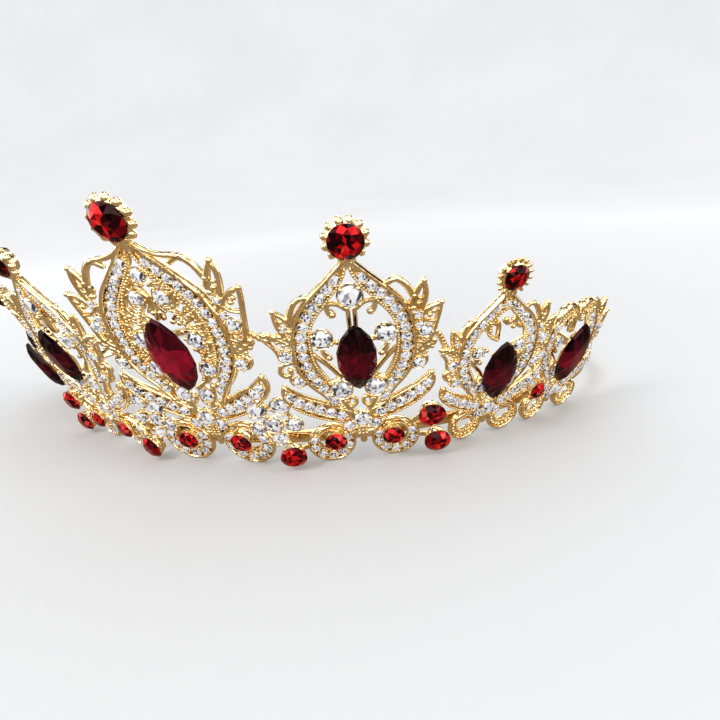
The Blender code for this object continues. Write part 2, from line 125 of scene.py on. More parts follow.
INNER_STROKES = (
    ((0.50, 0.70), ((6.4, 44.5), (7.9, 44.6), (9.2, 44.1), (10.2, 43.0), (10.9, 41.4), (11.1, 39.6))),
    ((0.65, 0.42), ((11.1, 39.4), (12.3, 41.2), (13.7, 42.5))),
    ((0.42, 0.68), ((13.7, 42.5), (13.6, 40.6), (13.2, 38.8), (12.4, 37.0), (11.2, 35.4))),
    (0.62, ((16.4, 37.9), (14.9, 37.2), (13.2, 36.2), (11.4, 35.0))),
    (0.42, ((16.0, 36.4), (14.9, 35.0), (14.3, 33.6), (14.0, 32.0))),
    (0.46, ((14.0, 31.8), (12.6, 31.1), (11.2, 31.6))),
    (0.55, ((11.0, 31.2), (12.9, 31.2), (14.2, 30.4), (14.5, 29.1), (13.6, 28.1), (12.5, 28.5),
            (12.7, 29.6))),
    (0.42, ((12.8, 28.2), (12.6, 26.4), (11.6, 25.5), (10.0, 25.9))),
)
# Scrollwork inside the ogee and the gold leaves at its foot.
ARCH_STROKES = (
    (0.52, ((8.3, 37.6), (7.4, 39.4), (6.2, 41.2), (5.0, 42.4), (3.6, 42.9), (2.2, 42.6), (1.0, 41.6))),
    ((0.40, 0.85), ((4.3, 42.8), (4.2, 41.8), (3.5, 40.7))),
    (0.46, ((1.3, 43.0), (0.70, 41.6), (0.60, 39.6), (0.55, 37.4))),
)
MIDDLE_STROKES = (
    (0.52, ((8.2, 36.4), (6.2, 35.6), (4.4, 34.9), (3.2, 34.8))),
    ((0.40, 0.70), ((6.0, 34.2), (6.0, 32.8), (5.2, 31.6))),
    (0.55, ((8.0, 32.6), (6.5, 31.0), (5.2, 29.5), (4.1, 28.0), (3.2, 26.6))),
    (0.50, ((3.2, 26.6), (4.2, 25.9), (5.6, 25.4))),
    ((0.90, 0.50), ((1.5, 16.2), (2.4, 18.4), (3.2, 20.4), (3.6, 22.4))),
    ((0.90, 0.60), ((2.0, 16.2), (3.9, 18.2), (5.9, 20.2))),
    (0.44, ((1.6, 18.6), (0.8, 19.4), (0.8, 20.6), (1.7, 21.1), (2.3, 20.5))),
)
# Dense scrollwork that fills the centre motif, and the curl at the top of the second ones.
CENTER_STROKES = (
    (0.55, ((1.0, 46.2), (2.8, 44.4), (4.6, 42.4), (5.9, 40.0), (6.7, 37.2), (6.9, 34.2), (6.6, 31.2),
            (5.8, 28.4), (4.6, 25.9))),
    (0.48, ((0.8, 41.2), (2.4, 39.8), (3.9, 37.6), (4.9, 35.0), (5.2, 32.2), (4.9, 29.4), (4.1, 26.8),
            (3.0, 24.6))),
    (0.42, ((0.7, 43.6), (1.9, 43.9), (3.4, 43.0), (4.3, 41.2), (3.9, 39.6), (2.5, 39.4), (1.9, 40.3))),
    (0.42, ((5.5, 39.4), (4.6, 38.2), (3.2, 38.0), (2.2, 37.0))),
    (0.42, ((6.4, 37.4), (5.3, 37.0), (4.3, 36.1), (4.6, 35.1))),
    (0.42, ((7.9, 34.6), (7.2, 33.4), (7.3, 31.8), (7.8, 30.6))),
    (0.42, ((6.3, 30.4), (5.0, 30.4), (4.3, 31.3))),
    (0.42, ((5.2, 29.3), (6.4, 28.9), (7.3, 28.9))),
    (0.40, ((0.5, 41.6), (0.7, 40.2), (1.6, 38.8))),
    (0.40, ((7.6, 39.0), (6.4, 38.4), (6.7, 36.4), (8.0, 36.4))),
    (0.50, ((4.6, 25.9), (3.9, 24.4), (2.2, 23.4), (0.8, 22.6))),
    (0.50, ((1.2, 50.3), (3.2, 49.0), (5.2, 48.4), (7.2, 48.2), (8.6, 47.6))),
)
CENTER_BEADS = (
    (1.9, 40.4, 0.6), (2.2, 36.9, 0.6), (4.7, 35.0, 0.6), (4.2, 31.4, 0.6), (3.3, 43.0, 0.55),
    (6.9, 36.2, 0.6), (7.4, 32.6, 0.6), (6.4, 29.9, 0.6), (5.4, 25.6, 0.6), (6.4, 25.2, 0.6),
    (3.1, 45.4, 0.5), (5.6, 42.5, 0.5), (4.3, 23.2, 0.7), (5.5, 23.6, 0.6), (0.7, 38.6, 0.6),
    (3.4, 36.6, 0.6), (5.7, 38.0, 0.6), (6.0, 35.4, 0.5),
)
CURL_STROKES = (
    (0.50, ((5.6, 44.6), (3.4, 46.4), (0.4, 46.4), (-2.2, 44.6), (-3.4, 41.8), (-2.8, 39.0),
            (-0.6, 37.4))),
    ((0.45, 0.80), ((4.0, 46.0), (4.1, 44.2), (3.2, 42.6), (1.6, 42.0), (1.0, 43.0))),
    (0.45, ((7.4, 40.4), (5.6, 40.2), (4.2, 41.4), (4.1, 43.6))),
)
# Wing leaf under the ogee: rims, tip and the floor between them.
WING_STROKES = (
    (0.55, ((2.2, 17.4), (4.8, 18.9), (7.0, 20.2), (9.0, 21.3), (11.2, 22.5), (13.2, 24.1), (14.5, 25.4))),
    (0.50, ((14.5, 25.4), (14.9, 23.8), (14.6, 22.2), (13.8, 20.8))),
    (0.42, ((2.6, 14.8), (5.4, 15.4), (8.0, 16.5), (10.0, 17.6), (12.0, 19.0), (13.8, 20.9))),
)
WING_FLOOR = ((2.4, 16.0), (4.6, 17.1), (6.8, 18.3), (9.0, 19.5), (11.2, 20.8), (13.2, 22.6))
WING_CLEARS = (
    (4.1, 17.0, 2.3), (6.2, 18.1, 2.3), (8.3, 19.2, 2.3), (10.3, 20.4, 2.3), (12.2, 21.7, 2.3),
    (13.6, 23.2, 2.0),
)

# Round gold beads at scale 1: x, y and radius.
OUTER_BEADS = (
    (12.0, 41.2, 0.5), (12.3, 42.2, 0.45), (12.0, 35.2, 0.5), (12.1, 34.2, 0.5), (14.0, 38.6, 0.55),
    (14.7, 39.3, 0.5), (12.95, 45.6, 0.56), (16.1, 41.0, 0.56), (11.2, 42.8, 0.55),
    (11.1, 40.4, 0.60), (12.5, 39.2, 0.55), (11.5, 36.6, 0.50), (12.4, 32.9, 0.50),
    (14.9, 33.0, 0.60), (13.7, 32.1, 0.50), (14.5, 31.6, 0.50), (12.6, 31.2, 0.50),
    (13.4, 30.6, 0.45), (12.2, 30.2, 0.45),
)
INNER_BEADS = (
    (12.6, 40.4, 0.5), (12.9, 35.4, 0.55), (13.3, 34.6, 0.5), (12.2, 35.6, 0.5), (14.0, 36.2, 0.5),
    (13.75, 42.6, 0.52), (11.7, 40.8, 0.60), (11.5, 38.2, 0.60), (12.5, 36.8, 0.50),
    (11.5, 36.4, 0.50), (14.3, 37.4, 0.65), (15.3, 37.9, 0.60), (13.3, 37.3, 0.50),
    (15.8, 36.9, 0.55), (12.1, 34.2, 0.50), (12.5, 29.6, 0.55),
)
MIDDLE_BEADS = (
    (3.4, 40.7, 0.62), (4.9, 31.5, 0.68), (3.2, 34.8, 0.55), (2.3, 20.4, 0.50), (5.2, 25.5, 0.50),
    (2.3, 17.6, 0.50), (3.3, 18.7, 0.50), (4.4, 19.6, 0.50), (3.0, 20.4, 0.50), (3.6, 17.3, 0.45),
    (5.0, 18.8, 0.45), (1.2, 16.9, 0.50),
)

# Larger clear stones inside a motif: x, y and diameter; those on the middle line aren't mirrored.
MIDDLE_CLEARS = {
    "center": ((0.0, 45.6, 2.6), (0.0, 15.5, 3.6)), "1": ((0.0, 44.4, 4.2), (0.0, 15.5, 3.6)),
    "2": ((0.0, 48.0, 1.6), (0.0, 15.5, 3.6)), "3": ((0.0, 15.5, 3.6),),
}
SIDE_CLEARS = {
    "center": ((2.4, 41.6, 2.9), (5.2, 33.4, 3.4), (5.2, 27.4, 3.2), (2.4, 21.4, 3.2), (2.7, 14.0, 2.5)),
    "1": ((5.9, 36.1, 3.8), (3.4, 23.8, 4.1), (5.2, 21.0, 1.8), (2.7, 14.0, 2.5)),
    "2": ((6.0, 35.0, 2.9), (3.4, 23.8, 3.3), (2.7, 14.0, 2.5)),
    "3": ((5.9, 35.6, 2.8), (3.4, 23.8, 3.0), (2.7, 14.0, 2.5)),
}
OUTER_CLEARS = ((13.2, 35.6, 2.5), (11.9, 28.4, 2.5), (12.1, 36.9, 1.5), (11.9, 39.1, 1.5))
INNER_CLEARS = ((12.9, 32.9, 2.5), (11.3, 26.9, 2.3), (12.4, 39.0, 1.2))

# Clear stones between the centre motif and the first: arc length from the first motif
# towards the centre, height up the slope and diameter.
CLUSTER = (
    (20.6, 16.2, 4.0), (15.7, 17.0, 3.9), (13.7, 11.8, 3.5), (21.5, 10.7, 3.2), (18.1, 11.8, 3.9),
    (17.4, 7.9, 3.6),
)
CLUSTER_STROKES = (
    ((23.0, 20.6), (22.6, 18.4), (20.6, 16.2)), ((20.6, 16.2), (15.7, 17.0)),
    ((15.7, 17.0), (13.7, 11.8)),
    ((13.7, 11.8), (18.1, 11.8), (21.5, 10.7)), ((18.1, 11.8), (17.4, 7.9), (15.6, 5.4)),
    ((15.7, 17.0), (13.8, 18.4), (12.4, 19.4)), ((18.1, 11.8), (20.6, 16.2)),
)

# Links between neighbouring motifs: their names, then distance from the motif's middle and
# height up the slope where the link leaves the first and meets the second.
LINKS = (("center", "1", 12.6, 34.4, 13.8, 33.4), ("1", "2", 13.6, 31.6, 9.4, 24.6),
         ("2", "3", 8.6, 22.4, 8.0, 20.8))
LINK_WAVE = ((0.0, 0.0), (0.3, 0.9), (0.7, -0.9), (1.0, 0.0))
LINK_HEIGHT = 30.0

# How much the leaves of a motif stand above those of the first motif, from which height up
# they are raised, over what height the rise grows to the full, and how far out they begin.
LEAF_LIFT = {"center": 1.6}
LEAF_FOOT = 33.0
LEAF_BLEND = 6.0
LEAF_SIDE = 11.0

# Petals of a finial cup: count, half length, forward lean and how far behind the stone.
PETALS = {"2": (16, 1.20, 0.45, 0.85)}
OPEN_PETALS = (12, 1.02, -0.25, 0.95)
# Painted shade that darkens the finial stone's facets towards its rim.
FINIAL_PAINTED_RIM_SHADE = 0.32

# Small stones, their settings and the beading.
CUT_SIDES = 8
PRONGS = 4
SMALL_SETTING = 1.6
STONE_RISE = 0.55
STONE_TURN = 0.7
LARGE_CRESCENT = 4.5
CHANNEL_BOX = 0.4
PAVE_DIAMETER = 2.05
PAVE_PITCH = 2.2
CRESCENT_CLEARS = 7
BEAD_RADIUS = 0.30
BEAD_PITCH = 0.60
SEED = 7

# Shades of cut glass by painted tone, in linear RGB: low tones are painted dark reflections, high ones
# painted glints, in the glass's own clear, red or garnet colour.
CLEAR_SHADES = (
    (0.00, (0.02, 0.02, 0.03)), (0.15, (0.04, 0.04, 0.06)), (0.21, (0.28, 0.26, 0.32)),
    (0.36, (0.48, 0.48, 0.56)), (0.45, (0.93, 0.93, 0.96)), (1.00, (1.0, 1.0, 1.0)),
)
RUBY_SHADES = (
    (0.00, (0.010, 0.0, 0.001)), (0.26, (0.030, 0.0, 0.002)), (0.34, (0.14, 0.001, 0.004)),
    (0.56, (0.26, 0.002, 0.006)), (0.66, (0.70, 0.006, 0.008)), (0.86, (0.95, 0.012, 0.012)),
    (0.94, (1.0, 0.10, 0.10)),
)
GARNET_SHADES = (
    (0.18, (0.005, 0.0, 0.001)), (0.42, (0.016, 0.0, 0.003)), (0.62, (0.070, 0.001, 0.008)),
    (0.80, (0.16, 0.002, 0.015)), (0.98, (0.40, 0.006, 0.03)),
)

# Camera: angles in degrees, distances in millimetres, focal length in picture widths.
CAMERA_AZIMUTH = 17.65
CAMERA_ELEVATION = 20.74
CAMERA_ROLL = 5.93
CAMERA_DISTANCE = 102.03
CAMERA_SHIFT = (0.92, 6.12)
CAMERA_TARGET_RISE = 16.0
CAMERA_FOCAL = 0.672194
SENSOR = 36.0

# Round floor sheet that bends up into a backdrop, in metres, and the greyer area in its middle.
BOWL_FLAT = 0.9
BOWL_BEND = 1.2
BOWL_RISE = 1.5
BOWL_RINGS = 12
BOWL_SIDES = 72
FLOOR_GREY = (0.66, 0.665, 0.67)
FLOOR_GREY_REACH = (0.07, 0.40)

# Soft lamps: name, place in metres, diameter and watts; and the point they are aimed at.
LAMPS = (("key", (-0.35, -0.45, 0.6), 0.30, 2.0), ("fill", (0.6, -0.1, 0.5), 0.25, 0.9))
LAMP_AIM = (0.0, -0.03, 0.03)


# --- curves
def smooth(points, step=0.4, closed=False):
    """Centripetal Catmull-Rom curve through the points, with a sample about every step."""
    points = np.asarray(points, float)
    if closed:
        padded = np.vstack([points[-1], points, points[:2]])
    else:
        padded = np.vstack([2 * points[0] - points[1], points, 2 * points[-1] - points[-2]])
    samples = []
    for corners in zip(padded, padded[1:], padded[2:], padded[3:]):
        gaps = [math.sqrt(max(np.linalg.norm(q - p), 1e-6)) for p, q in zip(corners, corners[1:])]
        knots = np.cumsum([0.0] + gaps)
        count = max(int(np.linalg.norm(corners[2] - corners[1]) / step), 1)
        for t in np.linspace(knots[1], knots[2], count, endpoint=False):
            level = [blend_points(*corners[i:i + 2], *knots[i:i + 2], t) for i in range(3)]
            level = [blend_points(*level[i:i + 2], knots[i], knots[i + 2], t) for i in range(2)]
            samples.append(blend_points(*level, knots[1], knots[2], t))
    if not closed:
        samples.append(points[-1])
    return np.array(samples)


def blend_points(p, q, start, end, t):
    """Point between p, at the start, and q, at the end."""
    return ((end - t) * p + (t - start) * q) / (end - start)


def spaced(path, pitch, margin=0.0):
    """Evenly spaced points along a path, with a margin free at both ends."""
    steps = np.linalg.norm(np.diff(path, axis=0), axis=1)
    travelled = np.concatenate([[0.0], np.cumsum(steps)])
    free = travelled[-1] - 2 * margin
    if free <= 0:
        return path[:0]
    count = max(int(round(free / pitch)), 1) + 1
    places = np.linspace(margin, travelled[-1] - margin, count)
    return sample(path, travelled, places)


def sample(path, along, places):
    """Points of a path at places, measured by how far along it its own points are."""
    return np.stack([np.interp(places, along, column) for column in path.T], axis=1)


def raised(path, z):
    """Flat path at a height above the plate's middle plane."""
    return np.column_stack([path, np.full(len(path), z)])


def circle_path(x, y, radius, start=0.0, end=360.0, step=0.4):
    """Points along an arc, angles in degrees."""
    count = max(int(abs(math.radians(end - start)) * radius / step), 6)
    angles = np.radians(np.linspace(start, end, count + 1))
    return np.stack([x + radius * np.cos(angles), y + radius * np.sin(angles)], axis=1)


# --- shapes
def rows(*columns):
    """Faces from columns of point numbers; a single number fills its whole column."""
    return np.stack(np.broadcast_arrays(*columns), axis=1)


def squared_circle(sides, box):
    """Cosines and sines round a section; box below 1 squares it."""
    angles = 2 * np.pi * (np.arange(sides) + 0.5) / sides
    return [np.sign(part) * np.abs(part) ** box for part in (np.cos(angles), np.sin(angles))]


def bead_template(level):
    """Points and triangles of a small round bead."""
    shape = bmesh.new()
    bmesh.ops.create_icosphere(shape, subdivisions=level, radius=1.0)
    points = np.array([v.co for v in shape.verts])
    faces = np.array([[v.index for v in f.verts] for f in shape.faces])
    shape.free()
    return points, faces


BEAD = bead_template(2)
SMALL_BEAD = bead_template(1)


class Piece:
    """Points and faces of one piece, in millimetres of a plate frame; a painted tone on each facet of a
    stone stands in for its glints and dark reflections.
    """

    def __init__(self):
        self.points = []
        self.faces = []
        self.painted_tones = []
        self.count = 0
        self.random = np.random.default_rng(SEED)

    def add(self, points, faces, painted_tones=None):
        """Add points and the faces between them; faces are arrays of equal-sided faces."""
        self.points.append(np.asarray(points, float))
        before = len(self.faces)
        for group in faces:
            self.faces += (np.asarray(group) + self.count).tolist()
        added = len(self.faces) - before
        self.painted_tones += list(np.zeros(added) if painted_tones is None else painted_tones)
        self.count += len(points)

    def move(self, start, axes, place):
        """Turn and move the groups of points added since the start."""
        self.points[start:] = [points @ axes.T + place for points in self.points[start:]]

    def rod(self, path, half_width, half_height, z=0.0, sides=8, box=1.0, closed=False):
        """Rod along a path; box below 1 squares its section, and widths may taper."""
        path = np.asarray(path, float)
        if path.shape[1] == 2:
            path = raised(path, z)
        width, height = (np.broadcast_to(half, len(path)) for half in (half_width, half_height))
        if closed:
            tangent = np.roll(path, -1, axis=0) - np.roll(path, 1, axis=0)
        else:
            tangent = np.gradient(path, axis=0)
        tangent /= np.linalg.norm(tangent, axis=1)[:, None]
        if not closed:
            path, tangent, width, height = self.round_ends(path, tangent, width, height)
        across = np.stack([-tangent[:, 1], tangent[:, 0], np.zeros(len(path))], axis=1)
        across /= np.linalg.norm(across, axis=1)[:, None]
        up = np.cross(tangent, across)
        cosine, sine = squared_circle(sides, box)
        rings = (path[:, None] + across[:, None] * (width[:, None, None] * cosine[None, :, None])
                 + up[:, None] * (height[:, None, None] * sine[None, :, None]))
        self.loft(rings, closed)

    @staticmethod
    def round_ends(path, tangent, width, height):
        """Close both ends of a rod with two shrinking rings."""
        reach = np.array([0.92, 0.55])
        share = np.array([0.40, 0.84])
        start = path[0] - tangent[0] * (reach * width[0])[:, None]
        end = path[-1] + tangent[-1] * (reach[::-1] * width[-1])[:, None]
        path = np.vstack([start, path, end])
        tangent = np.vstack([[tangent[0]] * 2, tangent, [tangent[-1]] * 2])
        width = np.concatenate([share * width[0], width, share[::-1] * width[-1]])
        height = np.concatenate([share * height[0], height, share[::-1] * height[-1]])
        return path, tangent, width, height

    def loft(self, rings, closed):
        """Skin between rings of equal count, capped at the ends unless closed."""
        count, sides = rings.shape[:2]
        row = np.arange(count if closed else count - 1)[:, None]
        column = np.arange(sides)[None, :]
        after = (row + 1) % count
        beside = (column + 1) % sides
        quads = np.stack([row * sides + column, row * sides + beside,
                          after * sides + beside, after * sides + column], axis=-1).reshape(-1, 4)
        faces = [quads]
        if not closed:
            faces.append([list(range(sides))[::-1]])
            faces.append([list(range((count - 1) * sides, count * sides))])
        self.add(rings.reshape(-1, 3), faces)

    def beads(self, centres, radius, height=1.0, template=BEAD):
        """Round beads at the centres; height squashes or stretches them."""
        points, faces = template
        centres = np.asarray(centres, float)
        if not len(centres):
            return
        size = np.array([radius, radius, radius * height])
        all_points = (centres[:, None] + points[None] * size).reshape(-1, 3)
        offsets = (np.arange(len(centres)) * len(points))[:, None, None]
        self.add(all_points, [(faces[None] + offsets).reshape(-1, 3)])

    def petal(self, centre, direction, length, radius, lift):
        """Long rounded bead that points along a direction in the plate's plane."""
        points, faces = BEAD
        along = np.array([direction[0], direction[1], lift])
        along /= np.linalg.norm(along)
        side = np.array([-direction[1], direction[0], 0.0])
        up = np.cross(along, side)
        turned = (points[:, :1] * along * length + points[:, 1:2] * side * radius
                  + points[:, 2:] * up * radius)
        self.add(turned + centre, [faces])

    def turned(self, profile, centre, sides):
        """Closed ring turned about an axis along z; the profile is a closed loop of (r, z)."""
        angles = 2 * np.pi * np.arange(sides) / sides
        circle = np.column_stack([np.cos(angles), np.sin(angles)])
        rings = np.stack([raised(radius * circle, z) for radius, z in profile])
        self.loft(rings + np.asarray(centre), True)

    def build(self, name, finish, matrix=Matrix.Identity(4), node=None):
        """Make the object, placed by a matrix in metres; it rides on the body, in a CAD node's stead."""
        material, slot = finish
        mesh = bpy.data.meshes.new(name)
        mesh.from_pydata((np.vstack(self.points) * MM).tolist(), [], self.faces)
        mesh.transform(matrix)
        mesh.update()
        # Stones keep the painted light of their facets as a face attribute; gold is shaded smooth instead.
        if any(self.painted_tones):
            tone = mesh.attributes.new("tone", "FLOAT", "FACE")
            tone.data.foreach_set("value", self.painted_tones)
        else:
            mesh.shade_smooth()
            mesh.set_sharp_from_angle(angle=math.radians(50.0))
        mesh.materials.append(material)
        item = bpy.data.objects.new(name, mesh)
        bpy.context.scene.collection.objects.link(item)
        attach(item, BODY)
        if node:
            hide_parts(node)
        return item


# --- plate frames
class Plate:
    """Frame of one motif, measured on its CAD casting."""

    def __init__(self, label):
        self.label = label
        self.number = label.split("_")[-1]
        self.side = {"center": 0, "left": -1, "right": 1}[label.split("_")[0]]
        self.scale = SCALES[self.number]
        self.girth = math.sqrt(self.scale)
        points = np.array([v.co for v in NODES["casting_" + label].data.vertices])
        centre = (points.max(0) + points.min(0)) / 2
        flat = points - points.mean(0)
        normal = np.linalg.eigh(flat.T @ flat)[1][:, 0]
        if normal @ np.array([centre[0], centre[1] - CAD_BOUNDS[1][1], 0.0]) < 0:
            normal = -normal
        along = np.cross([0.0, 0.0, 1.0], normal)
        along /= np.linalg.norm(along)
        slope = np.cross(normal, along)
        rise = points @ slope
        foot = points[rise < rise.min() + 0.1 * MM].mean(0)
        out = points @ normal
        foot = foot + normal * ((out.max() + out.min()) / 2 - foot @ normal)
        origin = foot - slope * foot[2] / slope[2]
        self.matrix = Matrix(np.column_stack([along, slope, normal]).tolist()).to_4x4()
        self.matrix.translation = Vector(origin)
        self.inverse = self.matrix.inverted()
        self.heading = math.atan2(self.matrix[1][0], self.matrix[0][0])

    def halves(self):
        """Hand of each half, with whether it is an outer side."""
        return ((-1, self.side <= 0), (1, self.side >= 0))

    def place(self, points, hand=1):
        """Points at scale 1 to millimetres of the plate."""
        points = np.asarray(points, float)
        return np.column_stack([hand * points[:, 0] * self.scale,
                                points[:, 1] * self.scale - SLOPE_DROP])

    def curve(self, points, hand=1, step=0.4):
        return smooth(self.place(points, hand), step)

    def node_box(self, node):
        """Lowest and highest corner of a CAD node in this plate, in millimetres."""
        points = np.array([self.inverse @ v.co for v in NODES[node].data.vertices]) / MM
        return points.min(0), points.max(0)


# --- stones
def round_cut(radius, depth=0.72, crown=0.36):
    """Points and facets of a round cut stone; a star of facets fills its table."""
    turn = 2 * np.pi / CUT_SIDES
    eight = np.arange(CUT_SIDES)

    def ring(share, z, angles):
        return raised(share * np.column_stack([np.cos(angles), np.sin(angles)]), z)

    middle = np.array([[0.0, 0.0, crown + 0.02]])
    inner = ring(0.28, crown + 0.01, (eight + 0.5) * turn)
    table = ring(0.58, crown, eight * turn)
    stars = ring(0.80, crown * 0.60, (eight + 0.5) * turn)
    girdle_angles = np.arange(2 * CUT_SIDES) * turn / 2
    upper = ring(1.0, 0.05, girdle_angles)
    lower = ring(1.0, -0.05, girdle_angles)
    culet = np.array([[0.0, 0.0, -depth]])
    points = np.vstack([middle, inner, table, stars, upper, lower, culet]) * radius
    n, t, s, u, b, c = 1 + CUT_SIDES * np.array([0, 1, 2, 3, 5, 7])
    following = (eight + 1) % CUT_SIDES
    before = (eight - 1) % CUT_SIDES
    double = 2 * eight
    half = double + 1
    end = (double + 2) % (2 * CUT_SIDES)
    sixteen = np.arange(2 * CUT_SIDES)
    onward = (sixteen + 1) % (2 * CUT_SIDES)
    faces = [
        rows(0, n + before, t + eight, n + eight), rows(n + eight, t + eight, t + following),
        rows(t + eight, s + eight, t + following), rows(t + eight, s + before, u + double, s + eight),
        rows(s + eight, u + double, u + half), rows(s + eight, u + half, u + end),
        rows(u + sixteen, b + sixteen, b + onward, u + onward), rows(c, b + onward, b + sixteen),
    ]
    return points, faces


def add_round_stone(piece, centre, radius, twist=0.0, painted_rim_shade=0.0):
    """Round stone with a random painted tone on each facet, standing in for its glints and dark
    reflections; the last argument paints shade that darkens the facets near its rim.
    """
    points, faces = round_cut(radius)
    cosine, sine = math.cos(twist), math.sin(twist)
    turn = np.array([[cosine, -sine, 0.0], [sine, cosine, 0.0], [0.0, 0.0, 1.0]])
    middles = np.vstack([points[group].mean(axis=1) for group in faces])
    painted_tones = piece.random.uniform(0.02, 1.0, len(middles)) - painted_rim_shade * np.hypot(*middles.T[:2]) / radius
    piece.add(points @ turn.T + centre, faces, painted_tones)


def add_setting(piece, centre, radius, twist):
    """Collet under a stone's girdle, with small rounded prongs at its edge."""
    x, y, z = centre
    wall = max(0.14 * radius, 0.16)
    profile = ((radius + wall, 0.02 * radius), (radius + wall, -0.22 * radius),
               (0.72 * radius, -0.80 * radius), (0.50 * radius, -0.80 * radius),
               (radius * 0.99, -0.08 * radius))
    sides, bead = (14, SMALL_BEAD) if radius < SMALL_SETTING else (24, BEAD)
    piece.turned(profile[::-1], centre, sides)
    reach = radius + 0.3 * wall
    angles = twist + 2 * np.pi * np.arange(PRONGS) / PRONGS
    tips = np.column_stack([x + reach * np.cos(angles), y + reach * np.sin(angles)])
    piece.beads(raised(tips, z + 0.10 * radius), max(0.20 * radius, 0.24), 1.2, bead)


def add_stone_row(stones, metal, path, pitch, radius, margin=0.0, prong_turn=0.0):
    """Row of small clear stones in their settings, each turned on from the last."""
    for index, centre in enumerate(raised(spaced(path, pitch, margin), STONE_RISE)):
        add_round_stone(stones, centre, radius, STONE_TURN * index)
        add_setting(metal, centre, radius, STONE_TURN * index + prong_turn)


def marquise_ring(half_length, half_width, share, z, offset=0.0):
    """One level of a marquise: full sides that run to a point, the points moved on by an offset."""
    points = []
    for side in (1, -1):
        for step in range(MARQUISE_STEPS):
            level = math.sin(math.pi * ((step + offset) / MARQUISE_STEPS - 0.5))
            reach = half_width * (1.0 - level * level) ** MARQUISE_FULLNESS
            points.append((side * reach * share, side * level * half_length * share, z))
    return points


def marquise_cut(half_length, half_width, crown, depth):
    """Points and facets of a marquise: long table, brilliant crown, steep sides and deep back."""
    size = (half_length, half_width)
    rings = [marquise_ring(*size, 0.50, crown), marquise_ring(*size, 0.74, 0.80 * crown, 0.5),
             marquise_ring(*size, 0.97, 0.30 * crown), marquise_ring(*size, 1.0, -0.12 * crown),
             marquise_ring(*size, 0.40, -depth)]
    spine = [(0.0, share * half_length, crown * 1.03) for share in (0.28, 0.0, -0.28)]
    points = np.vstack(rings + [spine])
    count = 2 * MARQUISE_STEPS
    index = np.arange(count)
    onward = (index + 1) % count
    before = (index - 1) % count
    table, star, upper, lower, back, ridge = (step * count for step in range(6))
    levels = points[table + index, 1] / half_length
    nearest = ridge + np.where(levels > 0.18, 0, np.where(levels < -0.18, 2, 1))
    bridges = [(nearest[i], table + onward[i], nearest[onward[i]])
               for i in index if nearest[i] != nearest[onward[i]]]
    faces = [
        rows(nearest, table + index, table + onward), bridges,
        rows(table + index, star + index, table + onward),
        rows(table + index, star + before, upper + index, star + index),
        rows(star + index, upper + index, upper + onward),
        rows(upper + index, lower + index, lower + onward, upper + onward),
        rows(lower + index, back + index, back + onward, lower + onward),
        [list(back + index)[::-1]],
    ]
    return points, faces


# --- openwork
def add_milgrain(piece, path, z, radius=BEAD_RADIUS, pitch=BEAD_PITCH):
    """Row of small beads along a path."""
    piece.beads(raised(spaced(path, pitch, 0.2), z), radius, 1.0, SMALL_BEAD)


def add_strokes(piece, plate, hand, strokes, height=0.62, z=0.05, lift=0.0):
    """Gold strokes of a plate; a stroke may taper, and lift raises the leaves' upper parts."""
    for width, points in strokes:
        path = plate.curve(raise_leaves(points, lift), hand)
        start, end = width if isinstance(width, tuple) else (width, width)
        piece.rod(path, np.linspace(start, end, len(path)) * plate.girth, height, z)


def raise_leaves(points, lift):
    """Points whose upper part, from LEAF_FOOT up, is moved up the slope by up to the lift."""
    return [(x, y + lift * min(max((y - LEAF_FOOT) / LEAF_BLEND, 0.0), 1.0)) for x, y in points]


def add_round_beads(piece, plate, hand, beads, lift=0.0):
    """Round gold beads of a plate."""
    for x, y, radius in beads:
        place = plate.place(raise_leaves([(x, y)], lift), hand)
        piece.beads(raised(place, 0.30), radius * plate.girth, 1.0)


def add_ogee(piece, plate, hand, has_neck):
    """One arm of the ogee: smooth outer rim, channel floor and beaded inner rim."""
    girth = plate.girth
    start = 0 if has_neck else LOBED_START
    outer = plate.curve(OGEE_OUTER[start:], hand)
    inner = plate.curve(OGEE_INNER[start:], hand)
    middle = plate.curve(OGEE_MIDDLE[start:], hand)
    piece.rod(outer, 0.55 * girth, 0.85, 0.15)
    piece.rod(inner, 0.38 * girth, 0.66, 0.05)
    piece.rod(middle, 1.35 * plate.scale, 0.32, -0.25, box=CHANNEL_BOX)
    add_milgrain(piece, inner, 0.62)
    edge = plate.curve(OGEE_OUTER[8:13], hand)
    add_milgrain(piece, edge * [1.04, 1.0], 0.25, 0.42, 0.85)
    if not has_neck:
        lobe = plate.curve(LOBE, hand)
        bowl = plate.curve(LOBE_INNER, hand)
        piece.rod(lobe, 0.50 * girth, 0.95, 0.15)
        piece.rod(bowl, 0.34 * girth, 0.70, 0.05)
        piece.rod(spread_between(lobe, bowl), 0.75 * plate.scale, 0.3, -0.2, box=CHANNEL_BOX)
        add_milgrain(piece, bowl, 0.66)
        add_milgrain(piece, spread_between(lobe, bowl), 0.2, 0.36, 0.8)


def spread_between(one, other):
    """Path half way between two flat paths of unlike counts."""
    shares = np.linspace(0.0, 1.0, 20)
    one, other = (sample(path, np.linspace(0.0, 1.0, len(path)), shares) for path in (one, other))
    return (one + other) / 2


def add_wing(piece, plate, hand):
    """Wing leaf under the ogee: rims, floor and a beaded lower edge."""
    add_strokes(piece, plate, hand, WING_STROKES, 0.70, 0.08)
    piece.rod(plate.curve(WING_FLOOR, hand), 1.1 * plate.scale, 0.30, -0.25, box=CHANNEL_BOX)
    add_milgrain(piece, plate.curve(WING_STROKES[2][1], hand), 0.62)


def marquise_of(plate):
    """Centre, half length, half width and lean of the CAD marquise in its plate."""
    low, high = plate.node_box("marquise_" + plate.label)
    lean = MARQUISE_LEAN_LAST if plate.number == "3" else MARQUISE_LEAN
    half_length = (high[1] - low[1]) / 2 / math.cos(lean)
    centre = (low + high) / 2
    centre[2] = low[2] + MARQUISE_BACK * math.cos(lean) + 0.3 * half_length * math.sin(lean)
    return centre, half_length, (high[0] - low[0]) / 2, lean


